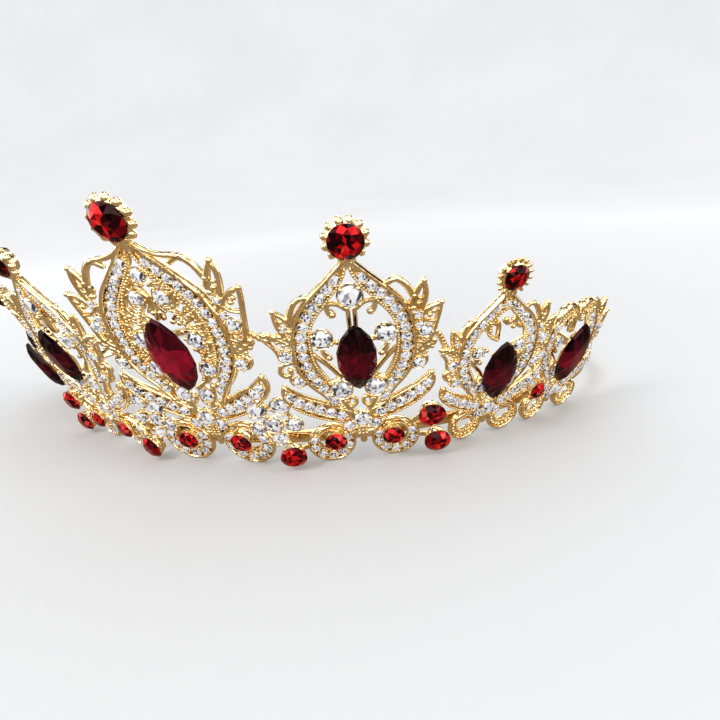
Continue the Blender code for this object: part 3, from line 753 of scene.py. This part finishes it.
def add_seat(piece, plate):
    """Oval bed under the marquise, with three ribs across it."""
    centre, half_length, half_width, lean = marquise_of(plate)
    bed = np.array(marquise_ring(half_length, half_width, 0.66, 0.0))
    bed[:, 2] = bed[:, 1] * math.tan(lean) - 0.85
    piece.rod(smooth(bed + centre, 0.5, True), 0.32, 0.42, closed=True)
    for share in (-0.55, 0.0, 0.55):
        y = share * half_length
        z = y * math.tan(lean) - 1.0
        reach = half_width * 0.62 * (1 - 0.3 * abs(share))
        rib = np.array([(-reach, y, z), (0.0, y, z - 0.35), (reach, y, z)])
        piece.rod(smooth(rib + centre, 0.5), 0.34, 0.30)


def add_clear(stones, metal, centre, diameter, twist):
    """Larger clear stone in its own setting."""
    add_round_stone(stones, centre, diameter / 2, twist)
    add_setting(metal, centre, diameter / 2, twist + math.pi / 4)


def clear_places(plate):
    """Places and diameters of the larger clear stones of a motif."""
    places = list(MIDDLE_CLEARS[plate.number])
    lift = LEAF_LIFT.get(plate.number, 0.0)
    for hand, outer in plate.halves():
        leaves = OUTER_CLEARS if outer else INNER_CLEARS
        for x, y, d in SIDE_CLEARS[plate.number] + WING_CLEARS + leaves:
            (x, y), = raise_leaves([(x, y)], lift if x > LEAF_SIDE else 0.0)
            places.append((hand * x, y, d))
    return places


def build_casting(plate, gold, clear):
    """Gold openwork of a motif and its clear stones."""
    metal, pave, accents = Piece(), Piece(), Piece()
    has_neck = plate.number != "3"
    start = 0 if has_neck else LOBED_START
    lift = LEAF_LIFT.get(plate.number, 0.0)
    for hand, outer in plate.halves():
        add_ogee(metal, plate, hand, has_neck)
        add_strokes(metal, plate, hand, OUTER_STROKES if outer else INNER_STROKES, lift=lift)
        add_round_beads(metal, plate, hand, OUTER_BEADS if outer else INNER_BEADS, lift)
        if plate.number != "2" or hand < 0:
            add_strokes(metal, plate, hand, ARCH_STROKES)
        add_strokes(metal, plate, hand, MIDDLE_STROKES)
        add_round_beads(metal, plate, hand, MIDDLE_BEADS)
        if plate.number == "center":
            add_strokes(metal, plate, hand, CENTER_STROKES)
            add_round_beads(metal, plate, hand, CENTER_BEADS)
            for _, arc in CENTER_STROKES[:2]:
                add_milgrain(metal, plate.curve(arc, hand), 0.62, 0.40, 0.8)
        if plate.number == "2" and hand > 0:
            add_strokes(metal, plate, hand, CURL_STROKES)
            add_milgrain(metal, plate.curve(CURL_STROKES[0][1], hand), 0.6)
        add_wing(metal, plate, hand)
        row = plate.curve(OGEE_MIDDLE[start:], hand)
        add_stone_row(pave, metal, row, PAVE_PITCH, PAVE_DIAMETER / 2, 0.9 if has_neck else 0.3, 0.4)
    add_seat(metal, plate)
    add_stem(metal, plate, has_neck)
    for index, (x, y, diameter) in enumerate(clear_places(plate)):
        x, y = plate.place([(x, y)])[0]
        add_clear(accents, metal, (x, y, 0.60 + 0.09 * diameter), diameter * plate.girth, 0.9 * index)
    metal.build(f"casting_{plate.label}_openwork", gold, plate.matrix, "casting_" + plate.label)
    pave.build(f"pave_{plate.label}_stones", clear, plate.matrix, "pave_" + plate.label)
    accents.build(f"accent_{plate.label}_stones", clear, plate.matrix)


def add_stem(metal, plate, has_neck):
    """Middle of the casting: neck under the finial, and the foot down to the gallery."""
    if has_neck:
        neck = plate.place([(0.0, 50.2), (0.0, 51.6)])
        metal.rod(neck, np.array([1.15, 0.9]) * plate.girth, 0.8, 0.1)
    radius, _, lift = CRESCENTS[plate.number]
    foot = plate.place([(0.0, 16.4), (0.0, 13.4)])
    foot = np.vstack([foot, [(0.0, 1.30 * radius + lift)]])
    metal.rod(smooth(foot, 0.6), 1.1 * plate.girth, 0.50, -0.15)
    for x in (-0.8, 0.0, 0.8):
        add_milgrain(metal, smooth(foot + [x * plate.girth, 0.0], 0.6), 0.25, 0.40, 0.85)


# --- gallery
def build_gallery(plate, gold, clear):
    """Pair of crescents, their clear stones and the seats of the red stones."""
    metal, stones = Piece(), Piece()
    radius, x, lift = CRESCENTS[plate.number]
    y = radius + lift
    large = radius > LARGE_CRESCENT
    hole = 0.56 * radius
    hole_y = y + 0.20 * radius
    for hand in (-1, 1):
        rim = circle_path(hand * x, y, radius - 0.35)[:-1]
        inner = circle_path(hand * x, hole_y, hole)[:-1]
        metal.rod(rim, 0.40, 0.75, 0.1, closed=True)
        metal.rod(inner, 0.28, 0.60, 0.05, closed=True)
        floor = circle_path(hand * x, y + 0.02 * radius, 0.73 * radius, 150.0, 390.0)
        metal.rod(floor, 0.22 * radius, 0.28, -0.25, box=CHANNEL_BOX)
        if large:
            arc = circle_path(hand * x, y + 0.03 * radius, 0.73 * radius, 160.0, 380.0)
            add_stone_row(stones, metal, arc, arc_pitch(arc), 0.19 * radius)
        else:
            arc = circle_path(hand * x, y + 0.04 * radius, 0.74 * radius, 165.0, 375.0)
            add_milgrain(metal, arc, 0.30, 0.46, 0.95)
        add_milgrain(metal, inner, 0.6, 0.22, 0.5)
    metal.rod(smooth([(-x + 0.6 * radius, y + 0.3 * radius), (0.0, y + 0.25 * radius),
                      (x - 0.6 * radius, y + 0.3 * radius)], 0.4), 0.9, 0.5, -0.05)
    metal.rod(smooth([(0.0, y - 0.1 * radius), (0.0, y + 1.3 * radius)], 0.5), 0.8, 0.5, -0.1)
    add_red_seats(metal, plate, x, y, radius)
    metal.build(f"gallery_{plate.label}_crescents", gold, plate.matrix, "gallery_" + plate.label)
    if large:
        stones.build(f"gallery_{plate.label}_stones", clear, plate.matrix)


def arc_pitch(arc):
    """Pitch that puts the wanted number of stones along an arc."""
    return np.linalg.norm(np.diff(arc, axis=0), axis=1).sum() / (CRESCENT_CLEARS - 1)


def red_nodes(plate):
    """CAD nodes of the red stones of one gallery."""
    return [n for n in NODES if plate.label in n and n.startswith(("crescent_stone_", "drop_stone_"))]


def stone_of(plate, node):
    """Centre at the girdle, and radius, of a round CAD stone in its plate."""
    low, high = plate.node_box(node)
    radius = (high[0] - low[0]) / 2
    return ((low[0] + high[0]) / 2, (low[1] + high[1]) / 2, low[2] + 0.52 * radius), radius


def add_red_seats(metal, plate, x, y, radius):
    """Cup under each red stone, and an arm from it to the nearest crescent."""
    for node in red_nodes(plate):
        centre, size = stone_of(plate, node)
        hand = 1 if centre[0] > 0 else -1
        add_collet(metal, centre, size)
        away = np.array([centre[0] - hand * x, centre[1] - y])
        root = np.array([hand * x, y]) + away / np.linalg.norm(away) * (radius - 0.4)
        arm = smooth([(root[0], root[1], 0.0), (centre[0], centre[1], 0.1)], 0.6)
        metal.rod(arm, 0.7, 0.45)
        post = [(centre[0], centre[1], 0.0), (centre[0] + 0.02, centre[1], centre[2] - 0.5 * size)]
        metal.rod(post, 0.8, 0.8)


def add_collet(metal, centre, size):
    """Deep plain cup that a red stone overhangs."""
    profile = np.array([(0.80, -0.25), (0.45, -0.85), (0.70, -0.85), (0.93, -0.30), (0.90, -0.14)])
    metal.turned(profile * size, centre, 24)


# --- red stones and finials
def build_round_red(plate, node, ruby, painted_rim_shade=0.0):
    """Faceted stone in the place of a round red CAD stone."""
    centre, radius = stone_of(plate, node)
    stone = Piece()
    stone.random = np.random.default_rng(SEED + sum(map(ord, node)))
    add_round_stone(stone, centre, radius, 0.2, painted_rim_shade)
    stone.build(node + "_cut", ruby, plate.matrix, node)


def build_marquise(plate, garnet):
    """Faceted marquise with painted light: brightest across its middle, darker on its lower facets."""
    node = "marquise_" + plate.label
    centre, half_length, half_width, lean = marquise_of(plate)
    points, faces = marquise_cut(half_length, half_width, MARQUISE_CROWN, MARQUISE_BACK)
    turn = np.array(Matrix.Rotation(lean, 3, "X"))
    stone = Piece()
    middles = [points[list(face)].mean(axis=0) for group in faces for face in group]
    levels = np.array([middle[1] / half_length for middle in middles])
    sides = np.array([middle[2] < 0.5 * MARQUISE_CROWN for middle in middles])
    # Painted light: a painted bright band across the middle, painted brightness added per motif, painted
    # shade on the lower facets and a random painted tone on each facet.
    painted_tones = (0.22 + MARQUISE_PAINTED_GLOW.get(plate.number, 0.0) + 0.36 * np.exp(-((levels + 0.05) / 0.42) ** 2)
             + stone.random.uniform(0.0, 0.26, len(levels)) - 0.12 * sides)
    stone.add(points @ turn.T + centre, faces, painted_tones)
    stone.build(node + "_cut", garnet, plate.matrix, node)


def build_finial(plate, gold, ruby):
    """Daisy cup of rounded petals round the finial stone."""
    node = "finial_cup_" + plate.label
    low, high = plate.node_box(node)
    centre = (low + high) / 2
    rim = (high[0] - low[0]) / 2
    stone_centre, stone_radius = stone_of(plate, "finial_stone_" + plate.label)
    z = stone_centre[2]
    cup = Piece()
    profile = ((stone_radius * 0.98, z - 0.15), (rim * 0.90, z - 0.9), (rim * 0.60, -1.2), (0.3, -1.5),
               (0.3, -0.8), (rim * 0.5, -0.5), (stone_radius * 0.88, z - 0.5))
    cup.turned(profile[::-1], (centre[0], centre[1], 0.0), 36)
    count, length, lean, behind = PETALS.get(plate.number, OPEN_PETALS)
    reach = rim - 0.72
    width = 0.92 * math.pi * reach / count
    for angle in 2 * np.pi * (np.arange(count) + 0.5) / count:
        direction = (math.cos(angle), math.sin(angle))
        place = np.array([centre[0] + reach * direction[0], centre[1] + reach * direction[1], z - behind])
        cup.petal(place, direction, length, width, lean)
    cup.build(node + "_petals", gold, plate.matrix, node)
    build_round_red(plate, "finial_stone_" + plate.label, ruby, FINIAL_PAINTED_RIM_SHADE)


# --- headband, links, cluster
def front_circle(plates):
    """Radius and centre, in millimetres, of the arc on which the plates stand."""
    middle, first = plates["center"], plates["right_1"]
    apart = (first.matrix.translation - middle.matrix.translation).length / MM
    radius = apart / (2 * math.sin(first.heading / 2))
    lean = math.asin(-middle.matrix[2][2])
    return radius, middle.matrix.translation.y / MM + radius, lean


def slope_axes(heading, lean):
    """Directions along the row, up the slope and out of the front, as columns."""
    along = np.array([math.cos(heading), math.sin(heading), 0.0])
    out = np.array([math.sin(heading), -math.cos(heading), 0.0])
    up = np.array([0.0, 0.0, 1.0])
    return np.column_stack([along, out * math.sin(lean) + up * math.cos(lean),
                            out * math.cos(lean) - up * math.sin(lean)])


def band_point(circle, azimuth, rise, stand=0.0):
    """Point up the slope at an azimuth of the front arc."""
    radius, centre_y, lean = circle
    reach = radius + rise * math.sin(lean) + stand * math.cos(lean)
    return np.array([reach * math.sin(azimuth), centre_y - reach * math.cos(azimuth),
                     rise * math.cos(lean) - stand * math.sin(lean)])


def band_plan(circle):
    """Half plan of the headband, from its middle to an end: points with their headings."""
    radius = circle[0]
    stations = []
    for heading in np.linspace(0.0, FRONT_END, 41):
        place = np.array([radius * math.sin(heading), -radius * math.cos(heading)])
        stations.append((place, heading))
    for bend, turn, steps in ((CORNER_RADIUS, math.pi / 2 - FRONT_END, 14), (SIDE_RADIUS, SIDE_TURN, 14)):
        start, heading = stations[-1]
        middle = start + bend * np.array([-math.sin(heading), math.cos(heading)])
        for step in range(1, steps + 1):
            angle = heading + turn * step / steps
            stations.append((middle + bend * np.array([math.sin(angle), -math.cos(angle)]), angle))
    start, heading = stations[-1]
    tab = TAB_LENGTH * np.array([math.cos(heading), math.sin(heading)])
    stations += [(start + 0.5 * tab, heading), (start + tab, heading)]
    return stations


def build_headband(circle, gold):
    """Polished strip with rounded edges that follows the CAD headband."""
    radius, centre_y, full_lean = circle
    stations = band_plan(circle)
    points = np.array([p for p, _ in stations])
    travelled = np.concatenate([[0.0], np.cumsum(np.linalg.norm(np.diff(points, axis=0), axis=1))])
    fade_start = radius * FRONT_END
    fade_end = travelled[-3]
    cosine, sine = squared_circle(BAND_SIDES, 0.35)
    half = []
    for (point, heading), distance in zip(stations, travelled):
        share = min(max((distance - fade_start) / (fade_end - fade_start), 0.0), 1.0)
        share = share * share * (3 - 2 * share)
        _, slope, normal = slope_axes(heading, full_lean * (1 - share)).T
        foot = np.array([point[0], point[1] + centre_y, 0.0])
        middle = (foot + slope * (BAND_LIFT * (1 - share) + BAND_HEIGHT / 2)
                  - normal * (BAND_SETBACK + BAND_THICKNESS / 2))
        half.append(middle + np.outer(cosine * BAND_THICKNESS / 2, normal)
                    + np.outer(sine * BAND_HEIGHT / 2, slope))
    mirrored = [ring * [-1.0, 1.0, 1.0] for ring in half[:0:-1]]
    mirrored = [np.roll(ring[::-1], BAND_SIDES // 2, axis=0) for ring in mirrored]
    band = Piece()
    band.loft(np.array(mirrored[1:] + half[:-1]), False)
    for side in (-1, 1):
        start, end = (half[index].mean(axis=0) * [side, 1, 1] for index in (-2, -1))
        add_eyelet_tab(band, start - 0.2 * (end - start), end)
    face_outward(band.build("headband_strip", gold, node="headband").data)


def face_outward(mesh):
    """Turn every face of a closed mesh outward."""
    shape = bmesh.new()
    shape.from_mesh(mesh)
    bmesh.ops.recalc_face_normals(shape, faces=shape.faces)
    shape.to_mesh(mesh)
    shape.free()


def add_eyelet_tab(band, start, end):
    """Rounded end plate of the band with a round eyelet; start and end are its middles."""
    middle = (start + end) / 2
    along = (end - start) / 2
    half_length = np.linalg.norm(along)
    along /= half_length
    across = np.array([along[1], -along[0], 0.0]) * BAND_THICKNESS / 2
    up = np.array([0.0, 0.0, 1.0])
    rings = []
    for angle in 2 * np.pi * np.arange(EYELET_SIDES) / EYELET_SIDES:
        cosine, sine = math.cos(angle), math.sin(angle)
        reach = (abs(cosine / half_length) ** 8 + abs(2 * sine / BAND_HEIGHT) ** 8) ** -0.125
        direction = along * cosine + up * sine
        rings.append([middle + direction * far + across * side for far, side in
                      ((reach, 1), (reach, -1), (EYELET_RADIUS, -1), (EYELET_RADIUS, 1))])
    band.loft(np.array(rings), True)


def build_cluster(plates, side, circle, gold, clear):
    """Group of clear stones between the centre motif and a first motif."""
    name = "left" if side < 0 else "right"
    turn = plates[name + "_1"].heading
    metal, stones = Piece(), Piece()
    for index, (arc, rise, diameter) in enumerate(CLUSTER):
        starts = len(stones.points), len(metal.points)
        add_clear(stones, metal, (0.0, 0.0, 0.0), diameter, index)
        azimuth = turn - side * arc / circle[0]
        place = band_point(circle, azimuth, rise, 1.0)
        for piece, start in zip((stones, metal), starts):
            piece.move(start, slope_axes(azimuth, circle[2]), place)
    for path in CLUSTER_STROKES:
        line = np.array([band_point(circle, turn - side * arc / circle[0], rise, 0.2)
                         for arc, rise in smooth(path, 0.5)])
        metal.rod(line, 0.5, 0.5)
        metal.beads(spaced(line, 0.9, 0.2), 0.52, 1.0, SMALL_BEAD)
    metal.build(f"cluster_{name}_settings", gold)
    stones.build(f"cluster_{name}_stones", clear)


def build_links(plates, circle, gold):
    """Wavy beaded links between neighbouring motifs."""
    radius = circle[0] + LINK_HEIGHT * math.sin(circle[2])
    for side, name in ((-1, "left"), (1, "right")):
        for number, (inner, outer, from_x, from_rise, to_x, to_rise) in enumerate(LINKS, 1):
            first = plates["center" if inner == "center" else f"{name}_{inner}"]
            second = plates[f"{name}_{outer}"]
            start = first.heading + side * from_x / radius
            end = second.heading - side * to_x / radius
            run = []
            for share, bump in LINK_WAVE:
                azimuth = start + (end - start) * share
                rise = from_rise + (to_rise - from_rise) * share + bump
                run.append(band_point(circle, azimuth, rise, 0.1))
            link = Piece()
            path = smooth(run, 0.4)
            link.rod(path, 0.55, 0.50)
            link.beads(spaced(path, 0.9, 0.1), 0.66, 1.0)
            link.build(f"scroll_link_{name}_{number}", gold)


# --- materials
def new_material(name):
    """Material with its node tree and its shader."""
    material = bpy.data.materials.new(name)
    material.use_nodes = True
    tree = material.node_tree
    return material, tree, tree.nodes["Principled BSDF"]


def feed(tree, node, inputs):
    """Set a node's inputs; a value may be a number, a colour or another node's output."""
    for name, value in inputs.items():
        if isinstance(value, bpy.types.NodeSocket):
            tree.links.new(value, node.inputs[name])
        elif isinstance(value, tuple):
            node.inputs[name].default_value = (*value, 1.0)
        else:
            node.inputs[name].default_value = value


def add_node(tree, kind, inputs, **settings):
    """New shader node with its settings and inputs."""
    node = tree.nodes.new("ShaderNode" + kind)
    for name, value in settings.items():
        setattr(node, name, value)
    feed(tree, node, inputs)
    return node


def where(tree, output="Object"):
    """Texture coordinates."""
    return add_node(tree, "TexCoord", {}).outputs[output]


def noise(tree, scale, detail=3.0, output="Object"):
    inputs = {"Vector": where(tree, output), "Scale": scale, "Detail": detail}
    return add_node(tree, "TexNoise", inputs).outputs["Fac"]


def ramp(tree, value, stops):
    """Colour of a value, from (position, linear RGB) stops."""
    node = add_node(tree, "ValToRGB", {"Fac": value})
    while len(node.color_ramp.elements) < len(stops):
        node.color_ramp.elements.new(0.5)
    for element, (position, colour) in zip(node.color_ramp.elements, stops):
        element.position = position
        element.color = (*colour, 1.0)
    return node.outputs["Color"]


def spread(tree, value, low, high, start=0.0, end=1.0):
    """Map the range from start to end onto the range from low to high."""
    inputs = {"Value": value, "From Min": start, "From Max": end, "To Min": low, "To Max": high}
    return add_node(tree, "MapRange", inputs).outputs["Result"]


def mixed(tree, factor, first, second, blend="MIX"):
    """Colour mix: first where the factor is 0, second where it is 1."""
    inputs = {"Factor": factor, "A": first, "B": second}
    return add_node(tree, "Mix", inputs, data_type="RGBA", blend_type=blend).outputs["Result"]


def make_gold(name, roughness):
    """Pale gold plating with painted shade in its hollows, darker and warmer there; slightly uneven
    polish, fine surface ripple.
    """
    material, tree, shader = new_material(name)
    colour = ramp(tree, noise(tree, 260.0),
                  ((0.30, (0.84, 0.62, 0.31)), (0.55, (0.93, 0.76, 0.46)), (0.75, (0.97, 0.87, 0.62))))
    pointed = add_node(tree, "NewGeometry", {}).outputs["Pointiness"]
    # Painted shade: low pointiness darkens the hollows to a warm brown; edges keep the plating's colour.
    painted_hollow_shade = ramp(tree, pointed,
                  ((0.40, (0.50, 0.28, 0.09)), (0.49, (0.98, 0.96, 0.93)), (0.60, (1.0, 1.0, 1.0))))
    grain = {"Height": noise(tree, 1400.0, 2.0), "Strength": 0.4, "Distance": 0.0001}
    ripple = add_node(tree, "Bump", grain)
    feed(tree, shader, {
        "Base Color": mixed(tree, 0.9, colour, painted_hollow_shade, "MULTIPLY"),
        "Metallic": 1.0,
        "Roughness": spread(tree, noise(tree, 900.0), roughness * 0.6, roughness * 1.6),
        "Normal": ripple.outputs["Normal"],
    })
    return material, "pale_gold"


def make_stone(kind, shades, metallic, coat):
    """Cut, foil-backed glass under a clear hard polish; every facet shows a painted shade, from painted
    dark reflection to painted glint.
    """
    material, tree, shader = new_material(kind + "_cut_glass")
    # Painted facet light: each facet's painted tone, with a fine random ripple, picks its shade from
    # painted dark reflections through the glass's colour to painted glints.
    tone = add_node(tree, "Attribute", {}, attribute_name="tone")
    total = add_node(tree, "Math", {}, operation="ADD")
    tree.links.new(tone.outputs["Fac"], total.inputs[0])
    tree.links.new(spread(tree, noise(tree, 700.0), -0.09, 0.09), total.inputs[1])
    feed(tree, shader, {
        "Base Color": ramp(tree, total.outputs["Value"], shades),
        "Roughness": spread(tree, noise(tree, 1200.0), 0.03, 0.14),
        "Metallic": metallic,
        "Specular IOR Level": coat,
        "Coat Weight": coat,
        "Coat Roughness": 0.03,
    })
    return material, kind + "_stone"


# --- stage
def make_camera(plates):
    """Camera that looks at the first right-hand motif from in front, above and to its right."""
    azimuth, elevation, roll = np.radians((CAMERA_AZIMUTH, CAMERA_ELEVATION, CAMERA_ROLL))
    target = plates["right_1"].matrix.translation + Vector((0.0, 0.0, CAMERA_TARGET_RISE * MM))
    turn = Matrix.Rotation(azimuth, 4, "Z") @ Matrix.Rotation(math.pi / 2 - elevation, 4, "X")
    place = Matrix.Translation(Vector((*CAMERA_SHIFT, CAMERA_DISTANCE)) * MM)
    data = bpy.data.cameras.new("camera")
    data.sensor_width = SENSOR
    data.lens = CAMERA_FOCAL * SENSOR
    data.clip_start = 0.005
    data.clip_end = 20.0
    camera = bpy.data.objects.new("camera", data)
    camera.matrix_world = Matrix.Translation(target) @ turn @ place @ Matrix.Rotation(-roll, 4, "Z")
    bpy.context.scene.collection.objects.link(camera)
    bpy.context.scene.camera = camera


def bowl_mesh():
    """Flat round middle with a wall that bends up all round it."""
    points = [(0.0, 0.0, 0.0)]
    for angle in np.linspace(0.0, math.pi / 2, BOWL_RINGS):
        reach = BOWL_FLAT + BOWL_BEND * math.sin(angle)
        rise = BOWL_RISE * (1 - math.cos(angle))
        points += [(reach * math.cos(turn), reach * math.sin(turn), rise)
                   for turn in 2 * np.pi * np.arange(BOWL_SIDES) / BOWL_SIDES]
    ring = list(range(1, BOWL_SIDES + 1))
    faces = [(0, one, other) for one, other in zip(ring, ring[1:] + ring[:1])]
    for row in range(BOWL_RINGS - 1):
        low = [index + row * BOWL_SIDES for index in ring]
        for one, other in zip(low, low[1:] + low[:1]):
            faces.append((one, one + BOWL_SIDES, other + BOWL_SIDES, other))
    mesh = bpy.data.meshes.new("floor")
    mesh.from_pydata(points, [], faces)
    mesh.shade_smooth()
    return mesh


def make_floor():
    """Pale round sheet that sweeps up all round; metal and stones mirror the lamps, not the sheet."""
    material, tree, shader = new_material("floor_white")
    body = ramp(tree, noise(tree, 3.0), ((0.3, (0.81, 0.813, 0.823)), (0.7, (0.87, 0.865, 0.875))))
    reach = add_node(tree, "VectorMath", {"Vector": where(tree)}, operation="LENGTH").outputs["Value"]
    feed(tree, shader, {
        "Base Color": mixed(tree, spread(tree, reach, 0.0, 1.0, *FLOOR_GREY_REACH), FLOOR_GREY, body),
        "Roughness": 0.9,
        "Specular IOR Level": 0.1,
    })
    mesh = bowl_mesh()
    mesh.materials.append(material)
    floor = bpy.data.objects.new("floor", mesh)
    floor.visible_glossy = False
    bpy.context.scene.collection.objects.link(floor)


def make_world():
    """Even pale light; what the metal and stones mirror has soft boxes and dark gaps."""
    world = bpy.data.worlds.new("studio")
    bpy.context.scene.world = world
    world.use_nodes = True
    tree = world.node_tree
    boxes = ramp(tree, noise(tree, 2.6, 1.0, "Generated"),
                 ((0.43, (0.03, 0.018, 0.01)), (0.49, (0.65, 0.55, 0.42)), (0.54, (3.1, 3.1, 3.0))))
    height = add_node(tree, "SeparateXYZ", {"Vector": where(tree, "Generated")}).outputs["Z"]
    mirrored = mixed(tree, spread(tree, height, 0.0, 1.0, -0.10, 0.02), (0.36, 0.28, 0.19), boxes)
    is_mirrored = add_node(tree, "LightPath", {}).outputs["Is Glossy Ray"]
    colour = mixed(tree, is_mirrored, (1.10, 1.11, 1.12), mirrored)
    feed(tree, tree.nodes["Background"], {"Color": colour})


def make_lamp(name, place, size, power):
    """Round soft lamp aimed at the motifs."""
    data = bpy.data.lights.new(name, "AREA")
    data.shape = "DISK"
    data.size = size
    data.energy = power
    lamp = bpy.data.objects.new(name, data)
    lamp.location = place
    aim = Vector(LAMP_AIM) - Vector(place)
    lamp.rotation_euler = aim.to_track_quat("-Z", "Y").to_euler()
    bpy.context.scene.collection.objects.link(lamp)


# --- assembly
def main():
    gold = make_gold("pale_gold_plating", 0.13)
    band_gold = make_gold("pale_gold_polish", 0.09)
    clear = make_stone("clear", CLEAR_SHADES, 0.0, 1.0)
    ruby = make_stone("ruby", RUBY_SHADES, 0.5, 0.11)
    garnet = make_stone("garnet", GARNET_SHADES, 0.45, 0.12)
    labels = ["center"] + [f"{side}_{number}" for side in ("left", "right") for number in (1, 2, 3)]
    plates = {label: Plate(label) for label in labels}
    circle = front_circle(plates)
    build_headband(circle, band_gold)
    for plate in plates.values():
        build_casting(plate, gold, clear)
        build_gallery(plate, gold, clear)
        build_marquise(plate, garnet)
        for node in red_nodes(plate):
            build_round_red(plate, node, ruby)
        if plate.number != "3":
            build_finial(plate, gold, ruby)
    for side in (-1, 1):
        build_cluster(plates, side, circle, gold, clear)
    build_links(plates, circle, gold)
    make_floor()
    make_world()
    for lamp in LAMPS:
        make_lamp(*lamp)
    make_camera(plates)
    bpy.context.scene.view_settings.view_transform = "Standard"


main()
